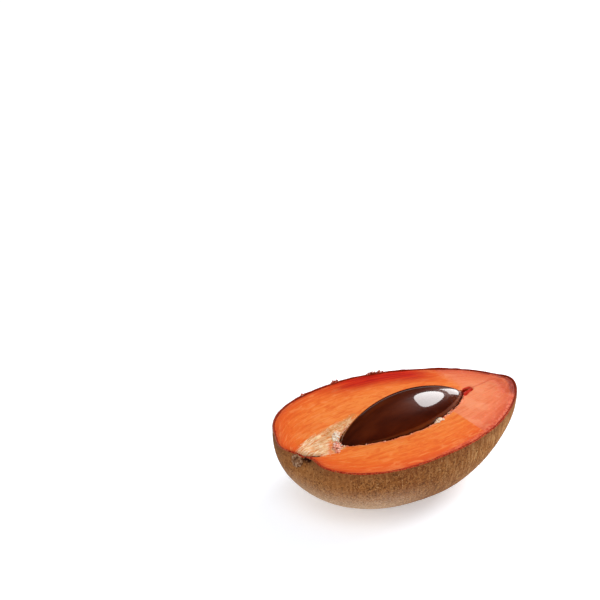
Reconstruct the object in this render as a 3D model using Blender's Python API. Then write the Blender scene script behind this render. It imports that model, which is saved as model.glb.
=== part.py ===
"""Half of a mamey sapote, cut along its length, lying on its rounded skin with the cut face up.

The flesh, its rough brown skin and the woody stem scar grew as one piece, so they are one body.
The single large seed lies loose in its hollow and stands about half above the cut face.

Frame: metres, +X from the stem end to the pointed end, +Y to the wider side, +Z up.
The origin lies on the supporting surface, under the middle of the half's outer box.
"""
import math

import bmesh
import bpy
from mathutils import Matrix, Vector, noise

MM = 0.001

# The whole fruit, before the cut
FRUIT_LENGTH = 150.0 * MM
WIDE_SIDE = 51.5 * MM            # axis to skin on the +Y side
NARROW_SIDE = 45.1 * MM          # axis to skin on the -Y side
BELLY_DEPTH = 39.5 * MM          # axis to skin underneath
BELLY_FULLNESS = 2.25            # 2 makes the sections under the axis ellipses, more makes them fuller
SHOULDER_SKEW = 0.07             # how far the blunt end leans towards the narrow side
HALF_SIZES = (FRUIT_LENGTH / 2, WIDE_SIDE, BELLY_DEPTH)

# How the fruit narrows from its fullest station, a share of the length from the stem end: then,
# towards the stem and towards the tip, a power (small for a cone, large for a barrel) and a
# rounding (small for a blunt end, 1 for a straight point)
WIDE_PROFILE = (0.406, (2.58, 0.42), (1.73, 0.75))
NARROW_PROFILE = (0.406, (2.58, 0.42), (2.21, 0.75))
BELLY_PROFILE = (0.468, (1.8, 0.335), (1.9, 1.04))

# The stem end has a shallow dimple round the scar and a low shoulder beside it: how deep each is
# (less than 0 stands out), where it is in Y and Z, and how far it reaches in Y and Z
STEM_DENTS = (
    (4.4 * MM, (-6.5 * MM, 0.0), (9.0 * MM, 8.0 * MM)),
    (-2.3 * MM, (13.5 * MM, 3.2 * MM), (7.5 * MM, 8.0 * MM)),
)

# The cut and the way the half lies
CUT_ABOVE_AXIS = 3.2 * MM
LEAN_TO_NARROW_SIDE = math.radians(1.2)
TIP_LIFT = math.radians(1.16)
CENTRE_OF_CUT = Vector((0.0, 0.0, CUT_ABOVE_AXIS))
RESTING_SPOT_DEPTH = 0.7 * MM    # how much of the belly's lowest point is pressed flat

# The seed
SEED_LENGTH = 89.7 * MM
SEED_HALF_WIDTH = 15.7 * MM
SEED_HALF_HEIGHT = 14.7 * MM
SEED_POINT = 0.757
SEED_CENTRE = (-5.2 * MM, -1.1 * MM)
SEED_TURN = math.radians(4.2)
SEED_SINK = 1.6 * MM             # seed axis below the cut face
SEAM_HALF_ANGLE = math.radians(17.0)
SEAM_HALF_LENGTH = 38.0 * MM
SEAM_FLAT = 0.5 * MM             # the dull seam strip underneath is this much shallower
HOLLOW_CLEARANCE = 0.6 * MM
HOLLOW_STEM_REACH = 1.07         # hollow past the seed's tips, as a share of its half length
HOLLOW_TIP_REACH = 1.16
HOLLOW_TIP_SHARE = 0.14
HOLLOW_TIP_START = 0.90

# Skin edge and cut face
SKIN_EDGE = 1.2 * MM             # width of the skin's cut edge
SKIN_RISE = 0.25 * MM            # the flesh has shrunk, so the skin's edge stands a little proud
SKIN_SHOULDER = 0.3 * MM         # the skin starts to round over this far under the cut
SKIN_RAGGED = 0.5 * MM
FLESH_DROP = 0.25 * MM
LIP_WIDTH = 1.2 * MM             # raised, crumbly edge round the seed's hollow
LIP_RISE = 0.35 * MM
LIP_RAGGED = 0.6 * MM
LIP_ROUND = 0.2 * MM
SECOND_CUT_STATION = 20.0 * MM   # past this X the knife was set a second time and ran lower
SECOND_CUT_FALL = math.radians(0.9)
END_ROLL = 1.1 * MM              # the face's edge bends down round the pointed end
END_ROLL_FROM = 52.0 * MM
END_ROLL_FULL = 70.0 * MM
FLESH_RIPPLE = 0.12 * MM
CORE_RISE = 0.3 * MM
CORE_RIPPLE = 0.5 * MM
CORE_HALF_WIDTH = 7.0 * MM       # at the stem scar
CORE_END = -34.0 * MM            # the pale core has faded out at this X, beside the seed
CRACK_START = (-69.0 * MM, -3.0 * MM)
CRACK_SLOPE = -0.7               # the torn crack runs towards the narrow side as it leaves the scar
CRACK_END = -62.0 * MM
CRACK_WIDTH = 1.6 * MM
CRACK_DEPTH = 1.6 * MM

# Stem scar and skin
STEM_END = -FRUIT_LENGTH / 2
SCAR_ZONE = -0.4 * FRUIT_LENGTH
SCAR_CENTRE = (1.8 * MM, -1.2 * MM)    # Y and Z
SCAR_RADIUS = 4.8 * MM
SCAR_RISE = 1.1 * MM
SCAR_POCKET = (-3.8 * MM, 1.0 * MM)    # Y and Z of the torn pocket beside the scar
SCAR_POCKET_RADIUS = 2.0 * MM
SCAR_POCKET_DEPTH = 2.0 * MM
SKIN_WAVE = 0.35 * MM
SKIN_WAVE_LENGTH = 22.0 * MM

# Mesh
COLUMNS = 96
BELLY_RINGS = 15
BELLY_CROWDING = 1.5             # above 1, rings crowd towards the rim
FACE_RINGS = 6
HOLLOW_RINGS = 10
HOLLOW_CROWDING = 1.3
END_CROWDING = 0.18              # columns crowd towards the two ends
SEED_SIDES = 28
SEED_RINGS = 30
HALVINGS = 34
SMOOTH_UNDER = math.radians(50.0)

# Order of the materials on the half
SKIN, FLESH, CORE, SCAR = range(4)
COAT, SEAM = range(2)


def smooth_step(value, low, high):
    """0 below low, 1 above high, with a soft ramp between."""
    share = min(1.0, max(0.0, (value - low) / (high - low)))
    return share * share * (3.0 - 2.0 * share)


def taper(station, profile):
    """Share of the full radius at a station along the fruit, 1 at the fullest and 0 at both ends."""
    fullest, towards_stem, towards_tip = profile
    if station < fullest:
        power, rounding = towards_stem
        away = (fullest - station) / fullest
    else:
        power, rounding = towards_tip
        away = (station - fullest) / (1.0 - fullest)
    return max(0.0, 1.0 - away ** power) ** rounding


def stem_dent(y, z):
    """How far the stem end is pressed in, or less than 0 where it stands out."""
    dent = 0.0
    for depth, (middle_y, middle_z), (reach_y, reach_z) in STEM_DENTS:
        away = math.hypot((y - middle_y) / reach_y, (z - middle_z) / reach_z)
        dent += depth * math.exp(-away ** 2)
    return dent


def fruit_station(point):
    """Station of a point along the fruit, allowing for the skewed shoulder and the stem dents."""
    dent = stem_dent(point.y, point.z)
    station = 0.5 + point.x / FRUIT_LENGTH
    for _ in range(8):
        stem_share = 1.0 - min(1.0, max(0.0, station))
        shift = SHOULDER_SKEW * point.y * stem_share ** 2 - dent * stem_share ** 8
        station = 0.5 + (point.x + shift) / FRUIT_LENGTH
    return station


def inside_fruit(point):
    station = fruit_station(point)
    if not 0.0 < station < 1.0:
        return False
    if point.y > 0.0:
        width = WIDE_SIDE * taper(station, WIDE_PROFILE)
    else:
        width = NARROW_SIDE * taper(station, NARROW_PROFILE)
    depth = BELLY_DEPTH * taper(station, BELLY_PROFILE)
    if width <= 0.0 or depth <= 0.0:
        return False
    fullness = BELLY_FULLNESS if point.z < 0.0 else 2.0
    return (abs(point.y) / width) ** fullness + (abs(point.z) / depth) ** fullness < 1.0


def seed_share(length_share):
    """Radius of the pointed seed as a share of its greatest, at a share of its half length."""
    return max(0.0, 1.0 - length_share ** 2) ** SEED_POINT


def inside_hollow(point):
    """True inside the seed's hollow, which runs past the seed in a narrow groove at each tip.

    Above the seed's axis the walls stand upright, so the seed lifts out.
    """
    length_share = abs(point.x) / (SEED_LENGTH / 2)
    around = math.hypot(point.y / SEED_HALF_WIDTH, min(point.z, 0.0) / SEED_HALF_HEIGHT)
    fit = seed_share(length_share) + HOLLOW_CLEARANCE / SEED_HALF_HEIGHT
    if length_share < 1.0 and around < fit:
        return True
    reach_share = HOLLOW_TIP_REACH if point.x > 0.0 else HOLLOW_STEM_REACH
    past = (length_share - HOLLOW_TIP_START) / (reach_share - HOLLOW_TIP_START)
    return 0.0 < past < 1.0 and around < HOLLOW_TIP_SHARE * (1.0 - past)


def reach(origin, direction, inside):
    """The point where a ray from inside a shape leaves it, found by halving."""
    near, far = 0.0, 3.0
    for _ in range(HALVINGS):
        middle = (near + far) / 2
        if inside(origin + direction * middle):
            near = middle
        else:
            far = middle
    return origin + direction * near


def column_angle(column):
    """Angle of a column round the half, with the columns crowded towards the two ends."""
    turn = 2 * math.pi * column / COLUMNS
    return turn - END_CROWDING * math.sin(2 * turn)


def column_rays(downs, sizes):
    """One direction for each column, at its angle below the level, stretched to a shape's sizes."""
    half_length, half_width, half_height = sizes
    for column, down in enumerate(downs):
        angle = column_angle(column)
        level = math.cos(down)
        yield Vector((
            level * math.cos(angle) * half_length,
            level * math.sin(angle) * half_width,
            -math.sin(down) * half_height,
        ))


def stem_scar(point):
    """Height of the woody scar over the skin, with the torn pocket on its narrow side."""
    if point.x > SCAR_ZONE:
        return 0.0
    radius = math.hypot(point.y - SCAR_CENTRE[0], point.z - SCAR_CENTRE[1])
    ring = 0.6 * math.exp(-((radius - 0.75 * SCAR_RADIUS) / (0.3 * SCAR_RADIUS)) ** 2)
    plug = 0.7 * (1.0 - smooth_step(radius, 0.3 * SCAR_RADIUS, SCAR_RADIUS))
    pocket_y, pocket_z = SCAR_POCKET
    away = math.hypot(point.y - pocket_y, 0.6 * (point.z - pocket_z)) / SCAR_POCKET_RADIUS
    return SCAR_RISE * (ring + plug) - SCAR_POCKET_DEPTH * math.exp(-away ** 2)


def skin_point(point):
    """A skin point moved out by the scar and by the skin's slight unevenness."""
    outward = Vector((point.x / 3, point.y, point.z)).normalized()
    moved = point + outward * SKIN_WAVE * noise.noise(point / SKIN_WAVE_LENGTH)
    moved.x -= stem_scar(point)
    return moved


def core_share(x, y):
    """1 on the pale fibrous core that fans out from the stem scar to the seed, 0 off it."""
    from_stem = x - STEM_END
    along = smooth_step(from_stem, 0.0, 5 * MM) * (1.0 - smooth_step(x, CORE_END - 16 * MM, CORE_END))
    middle = 2 * MM + 0.25 * from_stem
    half_width = CORE_HALF_WIDTH + 0.12 * from_stem
    return along * (1.0 - smooth_step(abs(y - middle) / half_width, 0.6, 1.3))


def crack_depth(x, y):
    """Depth of the short crack that tears from the scar's pocket into the face."""
    start_x, start_y = CRACK_START
    off_line = y - start_y - CRACK_SLOPE * (x - start_x)
    ending = 1.0 - smooth_step(x, CRACK_END - 5 * MM, CRACK_END)
    return CRACK_DEPTH * ending * math.exp(-(off_line / CRACK_WIDTH) ** 2)


def face_height(x, y, inward):
    """Height of the cut face over the knife's plane; inward is 0 at the skin, 1 at the seed."""
    ripple = FLESH_RIPPLE * noise.noise(Vector((x / (40 * MM), y / (9 * MM), 3.7)))
    second_cut = math.tan(SECOND_CUT_FALL) * max(0.0, x - SECOND_CUT_STATION)
    end_roll = END_ROLL * smooth_step(x, END_ROLL_FROM, END_ROLL_FULL)
    end_roll *= 1.0 - smooth_step(inward, 0.0, 0.3)
    fibres = CORE_RISE + CORE_RIPPLE * noise.noise(Vector((x / (6 * MM), y / (4 * MM), 8.1)))
    return ripple - second_cut - end_roll + core_share(x, y) * fibres - crack_depth(x, y)


def face_ring(rim, lip, share, offset, rise=0.0, ragged=0.0):
    """Points on the cut face, a share of the way from the rim to the hollow plus an offset."""
    ring = []
    for outer, inner in zip(rim, lip):
        inward = share + offset / (inner - outer).length
        point = outer.lerp(inner, inward)
        rough = ragged * noise.noise(point / (5 * MM))
        point.z = CUT_ABOVE_AXIS + face_height(point.x, point.y, inward) + rise + rough
        ring.append(point)
    return ring


def rim_points():
    """Points round the half where the skin starts to round over, under the edge of the cut face."""
    rim = []
    for ray in column_rays([0.0] * COLUMNS, HALF_SIZES):
        level = reach(CENTRE_OF_CUT, ray, inside_fruit)
        fall = face_height(level.x, level.y, 0.0) - SKIN_SHOULDER
        rim.append(reach(CENTRE_OF_CUT, Vector((level.x, level.y, fall)), inside_fruit))
    return rim


def upper_rings(rim):
    """Rings of points from the skin's edge inwards, over the face and down into the hollow."""
    seed_at = Matrix.Translation((*SEED_CENTRE, CUT_ABOVE_AXIS - SEED_SINK))
    seed_at = seed_at @ Matrix.Rotation(SEED_TURN, 4, "Z")
    seed_sizes = (SEED_LENGTH / 2, SEED_HALF_WIDTH, SEED_HALF_HEIGHT)
    cut_over_seed = Vector((0.0, 0.0, SEED_SINK))
    level_rays = column_rays([0.0] * COLUMNS, seed_sizes)
    lip = [seed_at @ reach(cut_over_seed, ray, inside_hollow) for ray in level_rays]

    rings = [
        face_ring(rim, lip, 0.0, 0.0, rise=-SKIN_SHOULDER),
        face_ring(rim, lip, 0.0, 0.25 * SKIN_EDGE, SKIN_RISE, SKIN_RAGGED),
        face_ring(rim, lip, 0.0, SKIN_EDGE, SKIN_RISE, SKIN_RAGGED),
        face_ring(rim, lip, 0.0, 1.5 * SKIN_EDGE, rise=-FLESH_DROP),
    ]
    for index in range(1, FACE_RINGS):
        rings.append(face_ring(rim, lip, index / FACE_RINGS, 0.0))
    rings.append(face_ring(rim, lip, 1.0, -1.5 * LIP_WIDTH))
    rings.append(face_ring(rim, lip, 1.0, -0.5 * LIP_WIDTH, LIP_RISE, LIP_RAGGED))
    rings.append(face_ring(rim, lip, 1.0, 0.0, rise=-LIP_ROUND))

    for index in range(HOLLOW_RINGS):
        down = math.pi / 2 * (index / HOLLOW_RINGS) ** HOLLOW_CROWDING
        rays = column_rays([down] * COLUMNS, seed_sizes)
        rings.append([seed_at @ reach(Vector(), ray, inside_hollow) for ray in rays])
    straight_down = Vector((0.0, 0.0, -SEED_HALF_HEIGHT))
    return rings, seed_at @ reach(Vector(), straight_down, inside_hollow)


def belly_rings(rim):
    """Rings of points on the skin, from the lowest up to just under the rim."""
    half_length, half_width, half_height = HALF_SIZES
    starts = []
    for point in rim:
        outward = math.hypot(point.x / half_length, point.y / half_width)
        starts.append(math.atan2((CUT_ABOVE_AXIS - point.z) / half_height, outward))
    rings = []
    for index in range(BELLY_RINGS - 1, 0, -1):
        share = (index / BELLY_RINGS) ** BELLY_CROWDING
        downs = [start + share * (math.pi / 2 - start) for start in starts]
        rays = column_rays(downs, HALF_SIZES)
        rings.append([skin_point(reach(CENTRE_OF_CUT, ray, inside_fruit)) for ray in rays])
    straight_down = Vector((0.0, 0.0, -BELLY_DEPTH))
    return rings, skin_point(reach(CENTRE_OF_CUT, straight_down, inside_fruit))


def bridge(bm, lower, upper, material):
    """Four-sided faces between two rings of the same count."""
    count = len(lower)
    for index in range(count):
        following = (index + 1) % count
        face = bm.faces.new((lower[index], lower[following], upper[following], upper[index]))
        face.material_index = material


def close_with_fan(bm, ring, tip, material):
    """Triangles from a ring to one point."""
    top = bm.verts.new(tip)
    for index, vert in enumerate(ring):
        face = bm.faces.new((vert, ring[(index + 1) % len(ring)], top))
        face.material_index = material


def finish_mesh(bm, name, materials):
    """Turns the faces outwards, shades them smooth and makes the named object."""
    bmesh.ops.recalc_face_normals(bm, faces=bm.faces[:])
    mesh = bpy.data.meshes.new(name)
    bm.to_mesh(mesh)
    bm.free()
    for material in materials:
        mesh.materials.append(material)
    mesh.shade_smooth()
    mesh.set_sharp_from_angle(angle=SMOOTH_UNDER)
    part = bpy.data.objects.new(name, mesh)
    bpy.context.scene.collection.objects.link(part)
    return part


def surface(name, colour, roughness, coat=0.0):
    """A Principled BSDF with the plain colour of one part of the fruit."""
    material = bpy.data.materials.new(name)
    material.use_nodes = True
    shader = material.node_tree.nodes["Principled BSDF"]
    shader.inputs["Base Color"].default_value = (*colour, 1.0)
    shader.inputs["Roughness"].default_value = roughness
    shader.inputs["Metallic"].default_value = 0.0
    shader.inputs["Coat Weight"].default_value = coat
    material.diffuse_color = (*colour, 1.0)
    return material


def flatten_resting_spot(bm, lie):
    """Cuts the belly's lowest point level with the supporting surface and closes the cut."""
    level = min((lie @ vert.co).z for vert in bm.verts) + RESTING_SPOT_DEPTH
    to_fruit = lie.inverted()
    down = (to_fruit.to_3x3() @ Vector((0.0, 0.0, -1.0))).normalized()
    cut = bmesh.ops.bisect_plane(
        bm, geom=bm.verts[:] + bm.edges[:] + bm.faces[:], dist=0.01 * MM,
        plane_co=to_fruit @ Vector((0.0, 0.0, level)), plane_no=down, clear_outer=True)
    outline = [item for item in cut["geom_cut"] if isinstance(item, bmesh.types.BMEdge)]
    bmesh.ops.contextual_create(bm, geom=outline)


def make_fruit_half(lie):
    """Flesh, skin and stem scar as one closed body."""
    skin = surface("skin", (0.242, 0.092, 0.024), 0.85)
    flesh = surface("flesh", (0.860, 0.165, 0.035), 0.45)
    core = surface("core_tissue", (0.830, 0.510, 0.270), 0.70)
    scar = surface("stem_scar", (0.130, 0.065, 0.030), 0.95)
    bm = bmesh.new()
    rim = rim_points()
    low_rings, lowest = belly_rings(rim)
    high_rings, hollow_floor = upper_rings(rim)
    rings = [[bm.verts.new(point) for point in ring] for ring in low_rings + high_rings]
    skin_ring_count = len(low_rings) + 2
    for index in range(len(rings) - 1):
        bridge(bm, rings[index], rings[index + 1], SKIN if index < skin_ring_count else FLESH)
    close_with_fan(bm, rings[0], lowest, SKIN)
    close_with_fan(bm, rings[-1], hollow_floor, FLESH)
    for face in bm.faces:
        middle = face.calc_center_median()
        from_scar = math.hypot(middle.y - SCAR_CENTRE[0], middle.z - SCAR_CENTRE[1])
        in_scar = middle.x < SCAR_ZONE and from_scar < SCAR_RADIUS
        if face.material_index == SKIN and in_scar:
            face.material_index = SCAR
        if face.material_index == FLESH and core_share(middle.x, middle.y) > 0.5:
            face.material_index = CORE
    flatten_resting_spot(bm, lie)
    return finish_mesh(bm, "fruit_half", (skin, flesh, core, scar))


def make_seed():
    """One glossy pointed seed with a duller seam strip on its underside."""
    coat = surface("seed_coat", (0.058, 0.010, 0.003), 0.15, coat=0.6)
    seam = surface("seed_seam", (0.300, 0.170, 0.090), 0.60)
    bm = bmesh.new()
    rings = []
    for index in range(1, SEED_RINGS):
        length_share = -math.cos(math.pi * index / SEED_RINGS)
        radius = seed_share(length_share)
        ring = []
        for side in range(SEED_SIDES):
            angle = 2 * math.pi * side / SEED_SIDES
            from_seam = abs(angle - 1.5 * math.pi)
            pressed = 1.0 - smooth_step(from_seam, 0.6 * SEAM_HALF_ANGLE, 1.2 * SEAM_HALF_ANGLE)
            height = SEED_HALF_HEIGHT * radius * math.sin(angle)
            ring.append(bm.verts.new((
                length_share * SEED_LENGTH / 2,
                SEED_HALF_WIDTH * radius * math.cos(angle),
                height + SEAM_FLAT * pressed * radius,
            )))
        rings.append(ring)
    for index in range(len(rings) - 1):
        bridge(bm, rings[index], rings[index + 1], COAT)
    close_with_fan(bm, rings[0], (-SEED_LENGTH / 2, 0.0, 0.0), COAT)
    close_with_fan(bm, rings[-1], (SEED_LENGTH / 2, 0.0, 0.0), COAT)
    for face in bm.faces:
        middle = face.calc_center_median()
        from_seam = abs(math.atan2(middle.y / SEED_HALF_WIDTH, -middle.z / SEED_HALF_HEIGHT))
        if from_seam < SEAM_HALF_ANGLE and abs(middle.x) < SEAM_HALF_LENGTH:
            face.material_index = SEAM
    seed = finish_mesh(bm, "seed", (coat, seam))
    seed.location = (*SEED_CENTRE, CUT_ABOVE_AXIS - SEED_SINK)
    seed.rotation_euler.z = SEED_TURN
    return seed


def place_half(holder, fruit_half):
    """Moves the half so that it stands on the surface, with the origin under its middle."""
    bpy.context.view_layer.update()
    corners = [fruit_half.matrix_world @ vert.co for vert in fruit_half.data.vertices]
    low = Vector([min(corner[axis] for corner in corners) for axis in range(3)])
    high = Vector([max(corner[axis] for corner in corners) for axis in range(3)])
    middle = (low + high) / 2
    holder.location = (-middle.x, -middle.y, -low.z)


def main():
    for old in list(bpy.data.objects):
        bpy.data.objects.remove(old, do_unlink=True)
    holder = bpy.data.objects.new("sapote_half", None)
    bpy.context.scene.collection.objects.link(holder)
    lie = Matrix.Rotation(-TIP_LIFT, 4, "Y") @ Matrix.Rotation(LEAN_TO_NARROW_SIDE, 4, "X")
    holder.rotation_euler = lie.to_euler()
    fruit_half = make_fruit_half(lie)
    seed = make_seed()
    for piece in (fruit_half, seed):
        piece.parent = holder
    place_half(holder, fruit_half)


main()
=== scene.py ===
# %% [markdown]
# # Half a mamey sapote
#
# A mamey sapote is a large tropical fruit with a thin, rough brown skin, soft orange flesh and one
# big polished seed. This one was cut along its length, and the half lies on its round belly with
# the seed still in place. The solid model is the fixed frame: it says how large everything is and
# where it lies. This script dresses that frame in six steps: skin, flesh, seed, stem scar, the
# small torn bits, and the finishes. Each step first says what the real thing is like.

# %% Load the solid model
import math

import bpy
import numpy as np
from mathutils import Matrix, Vector, noise


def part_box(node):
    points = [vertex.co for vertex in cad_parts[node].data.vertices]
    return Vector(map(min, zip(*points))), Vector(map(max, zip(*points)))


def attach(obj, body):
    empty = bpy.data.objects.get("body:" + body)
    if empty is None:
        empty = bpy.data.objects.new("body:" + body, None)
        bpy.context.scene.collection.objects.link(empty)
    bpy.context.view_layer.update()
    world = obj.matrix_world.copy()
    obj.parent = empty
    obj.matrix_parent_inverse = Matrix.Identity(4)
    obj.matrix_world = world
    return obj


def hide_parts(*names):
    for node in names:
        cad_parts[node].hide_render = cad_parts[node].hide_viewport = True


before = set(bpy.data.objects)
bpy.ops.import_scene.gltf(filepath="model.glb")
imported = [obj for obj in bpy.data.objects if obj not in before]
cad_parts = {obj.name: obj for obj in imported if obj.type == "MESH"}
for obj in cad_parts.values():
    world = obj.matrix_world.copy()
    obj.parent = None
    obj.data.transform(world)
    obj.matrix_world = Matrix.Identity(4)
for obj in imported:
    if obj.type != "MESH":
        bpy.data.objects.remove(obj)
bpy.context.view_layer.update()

MM = 0.001
half_low, half_high = (np.array(corner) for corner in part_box("fruit_half"))
seed_low, seed_high = (np.array(corner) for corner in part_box("seed"))
scene = bpy.context.scene
print("half, mm:", np.round((half_high - half_low) / MM, 1))
print("seed, mm:", np.round((seed_high - seed_low) / MM, 1))

# %% [markdown]
# ## Camera
#
# The picture was taken from a little above, from the stem end and the narrow side, with a long
# lens. A long lens far away keeps the fruit's far rim nearly as large as its near rim. The camera
# is placed by the point that it looks at, its angle round the fruit, its height and its distance.

# %% Place the camera
CAMERA_TURN = math.radians(-35.2)        # 0 looks along +Y
CAMERA_HEIGHT = math.radians(25.0)
CAMERA_DISTANCE = 0.900
AIM_FROM_SEED_TOP = Vector((-27.5, 57.5, 42.1)) * MM
LENS_MM = 99.3
SENSOR_MM = 36.0

toward_camera = Vector((
    math.sin(CAMERA_TURN) * math.cos(CAMERA_HEIGHT),
    -math.cos(CAMERA_TURN) * math.cos(CAMERA_HEIGHT),
    math.sin(CAMERA_HEIGHT),
))
camera = bpy.data.objects.new("camera", bpy.data.cameras.new("camera"))
camera.data.lens = LENS_MM
camera.data.sensor_width = SENSOR_MM
camera.data.clip_end = 20.0
seed_middle = (seed_low + seed_high) / 2
seed_top_middle = Vector((seed_middle[0], seed_middle[1], seed_high[2]))
camera.location = seed_top_middle + AIM_FROM_SEED_TOP + toward_camera * CAMERA_DISTANCE
camera.rotation_euler = toward_camera.to_track_quat("Z", "Y").to_euler()
scene.collection.objects.link(camera)
scene.camera = camera
print("camera at, mm:", [round(value / MM) for value in camera.location])

# %% [markdown]
# ## Light and floor
#
# The seed works as a mirror, and it tells where the lamps stood. Its clear white patch is a large
# soft lamp to the right, about 40 degrees up. The thin grey line along its far edge is a long
# strip low behind the fruit, and the pale band at its right tip is a smaller lamp low between the
# two. The near side of the skin is turned away from all three and is still well lit, so the whole
# room was bright: that is a pale sky and a broad fill lamp here. Sky, fill lamp and floor are
# hidden from reflections, so the seed stays dark between its highlights. The floor glows slightly,
# as a lit table does, which keeps the shadow short and lights the fruit from below. Its paint is
# faintly blue, against the warm light that the fruit throws on it.

# %% Set up lamps, sky and floor
KEY_DIRECTION = (85.0, 39.5)             # degrees round from +Y towards +X, and degrees up
KEY_DISTANCE = 1.1
KEY_SIZE = (1.00, 0.52)
KEY_POWER = 10.5
STRIP_DIRECTION = (45.0, 6.0)
STRIP_DISTANCE = 1.5
STRIP_SIZE = (1.6, 0.12)
STRIP_POWER = 0.24
CORNER_DIRECTION = (70.0, 11.0)
CORNER_DISTANCE = 1.2
CORNER_SIZE = (0.50, 0.40)
CORNER_POWER = 2.6
FILL_DIRECTION = (215.0, 50.0)
FILL_DISTANCE = 1.4
FILL_SIZE = (1.2, 1.2)
FILL_POWER = 7.0
SKY_COLOUR = (0.95, 0.97, 1.0)
SKY_STRENGTH = 0.62
FLOOR_HALF = 4.0
FLOOR_COLOUR = (0.80, 0.84, 0.90)
FLOOR_ROUGHNESS = 0.9
FLOOR_GLOW = 0.38
WHITE = (1.0, 1.0, 1.0, 1.0)


def add_lamp(name, shape, heading, distance, size, power, in_reflections):
    """A soft lamp in a direction from the fruit, turned to face it."""
    around, up = (math.radians(angle) for angle in heading)
    direction = Vector((math.sin(around) * math.cos(up), math.cos(around) * math.cos(up), math.sin(up)))
    lamp = bpy.data.lights.new(name, "AREA")
    lamp.shape = shape
    lamp.size, lamp.size_y = size
    lamp.energy = power
    holder = bpy.data.objects.new(name, lamp)
    holder.location = direction * distance
    holder.rotation_euler = direction.to_track_quat("Z", "Y").to_euler()
    holder.visible_glossy = in_reflections
    holder.visible_camera = False
    scene.collection.objects.link(holder)


add_lamp("key_lamp", "ELLIPSE", KEY_DIRECTION, KEY_DISTANCE, KEY_SIZE, KEY_POWER, True)
add_lamp("strip_lamp", "RECTANGLE", STRIP_DIRECTION, STRIP_DISTANCE, STRIP_SIZE, STRIP_POWER, True)
add_lamp("corner_lamp", "RECTANGLE", CORNER_DIRECTION, CORNER_DISTANCE, CORNER_SIZE, CORNER_POWER, True)
add_lamp("fill_lamp", "RECTANGLE", FILL_DIRECTION, FILL_DISTANCE, FILL_SIZE, FILL_POWER, False)

sky = bpy.data.worlds.new("sky")
sky.use_nodes = True
sky.node_tree.nodes["Background"].inputs["Color"].default_value = (*SKY_COLOUR, 1.0)
sky.node_tree.nodes["Background"].inputs["Strength"].default_value = SKY_STRENGTH
sky.cycles_visibility.glossy = False
scene.world = sky
scene.view_settings.view_transform = "Standard"

floor_mesh = bpy.data.meshes.new("floor")
floor_mesh.from_pydata([(-FLOOR_HALF, -FLOOR_HALF, 0), (FLOOR_HALF, -FLOOR_HALF, 0),
                        (FLOOR_HALF, FLOOR_HALF, 0), (-FLOOR_HALF, FLOOR_HALF, 0)],
                       [], [(0, 1, 2, 3)])
floor = bpy.data.objects.new("floor", floor_mesh)
scene.collection.objects.link(floor)
floor_paint = bpy.data.materials.new("floor_white")
floor_paint.use_nodes = True
floor_shader = floor_paint.node_tree.nodes["Principled BSDF"]
floor_shader.inputs["Base Color"].default_value = (*FLOOR_COLOUR, 1.0)
floor_shader.inputs["Roughness"].default_value = FLOOR_ROUGHNESS
floor_shader.inputs["Emission Color"].default_value = WHITE
floor_shader.inputs["Emission Strength"].default_value = FLOOR_GLOW
floor.visible_glossy = False
floor_mesh.materials.append(floor_paint)

# %% [markdown]
# ## The fruit's shape as a rule
#
# A grown fruit is round, so its form is easiest to say as a rule. At each station along its axis
# the section is an ellipse, wider on one side than on the other, and a taper says how large the
# section is there: blunt at the stem end, pointed at the other. Round the stem scar the end is
# dimpled, with a shoulder beside the dimple, and both are soft dents along the axis. The cut runs
# a little above the axis. To find the surface in a given direction, a ray is halved again and
# again between a point inside and a point outside. NumPy does this for every direction at once.

# %% Sizes of the fruit and its lie
FRUIT_LENGTH = 150.0 * MM
WIDE_SIDE = 51.5 * MM
NARROW_SIDE = 45.1 * MM
BELLY_DEPTH = 39.5 * MM
BELLY_FULLNESS = 2.25            # 2 makes the sections under the axis ellipses, more makes them fuller
SHOULDER_SKEW = 0.07
# The fullest station, a share of the length, then a power and a rounding to the stem and to the tip
WIDE_PROFILE = (0.406, (2.58, 0.42), (1.73, 0.75))
NARROW_PROFILE = (0.406, (2.58, 0.42), (2.21, 0.75))
BELLY_PROFILE = (0.468, (1.8, 0.335), (1.9, 1.04))
# Dimple round the scar and shoulder beside it: depth, place in Y and Z, reach in Y and Z
STEM_DENTS = (
    (4.4 * MM, (-6.5 * MM, 0.0), (9.0 * MM, 8.0 * MM)),
    (-2.3 * MM, (13.5 * MM, 3.2 * MM), (7.5 * MM, 8.0 * MM)),
)
DENT_FADING = 8                  # power of the share towards the stem, so dents stay at the end
STATION_ROUNDS = 8               # a station depends on itself, so it is found in a few rounds
HALF_SIZES = np.array((FRUIT_LENGTH / 2, WIDE_SIDE, BELLY_DEPTH))
CUT_ABOVE_AXIS = 3.2 * MM
LEAN_TO_NARROW_SIDE = math.radians(1.2)
TIP_LIFT = math.radians(1.16)
HALVINGS = 30
FAR_SHARE = 3.0                  # this many times the fruit's half sizes is outside every shape


def smooth_step(value, low, high):
    """0 below low, 1 above high, with a soft ramp between."""
    share = np.clip((value - low) / (high - low), 0.0, 1.0)
    return share * share * (3.0 - 2.0 * share)


def taper(station, profile):
    """Share of the full radius at a station along the fruit."""
    fullest, towards_stem, towards_tip = profile
    stem = np.clip((fullest - station) / fullest, 0.0, 1.0)
    tip = np.clip((station - fullest) / (1.0 - fullest), 0.0, 1.0)
    return np.where(station < fullest, (1.0 - stem ** towards_stem[0]) ** towards_stem[1],
                    (1.0 - tip ** towards_tip[0]) ** towards_tip[1])


def stem_dent(y, z):
    """How far the stem end is pressed in, or less than 0 where it stands out."""
    dent = 0.0
    for depth, (middle_y, middle_z), (reach_y, reach_z) in STEM_DENTS:
        away = np.hypot((y - middle_y) / reach_y, (z - middle_z) / reach_z)
        dent = dent + depth * np.exp(-away ** 2)
    return dent


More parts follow.
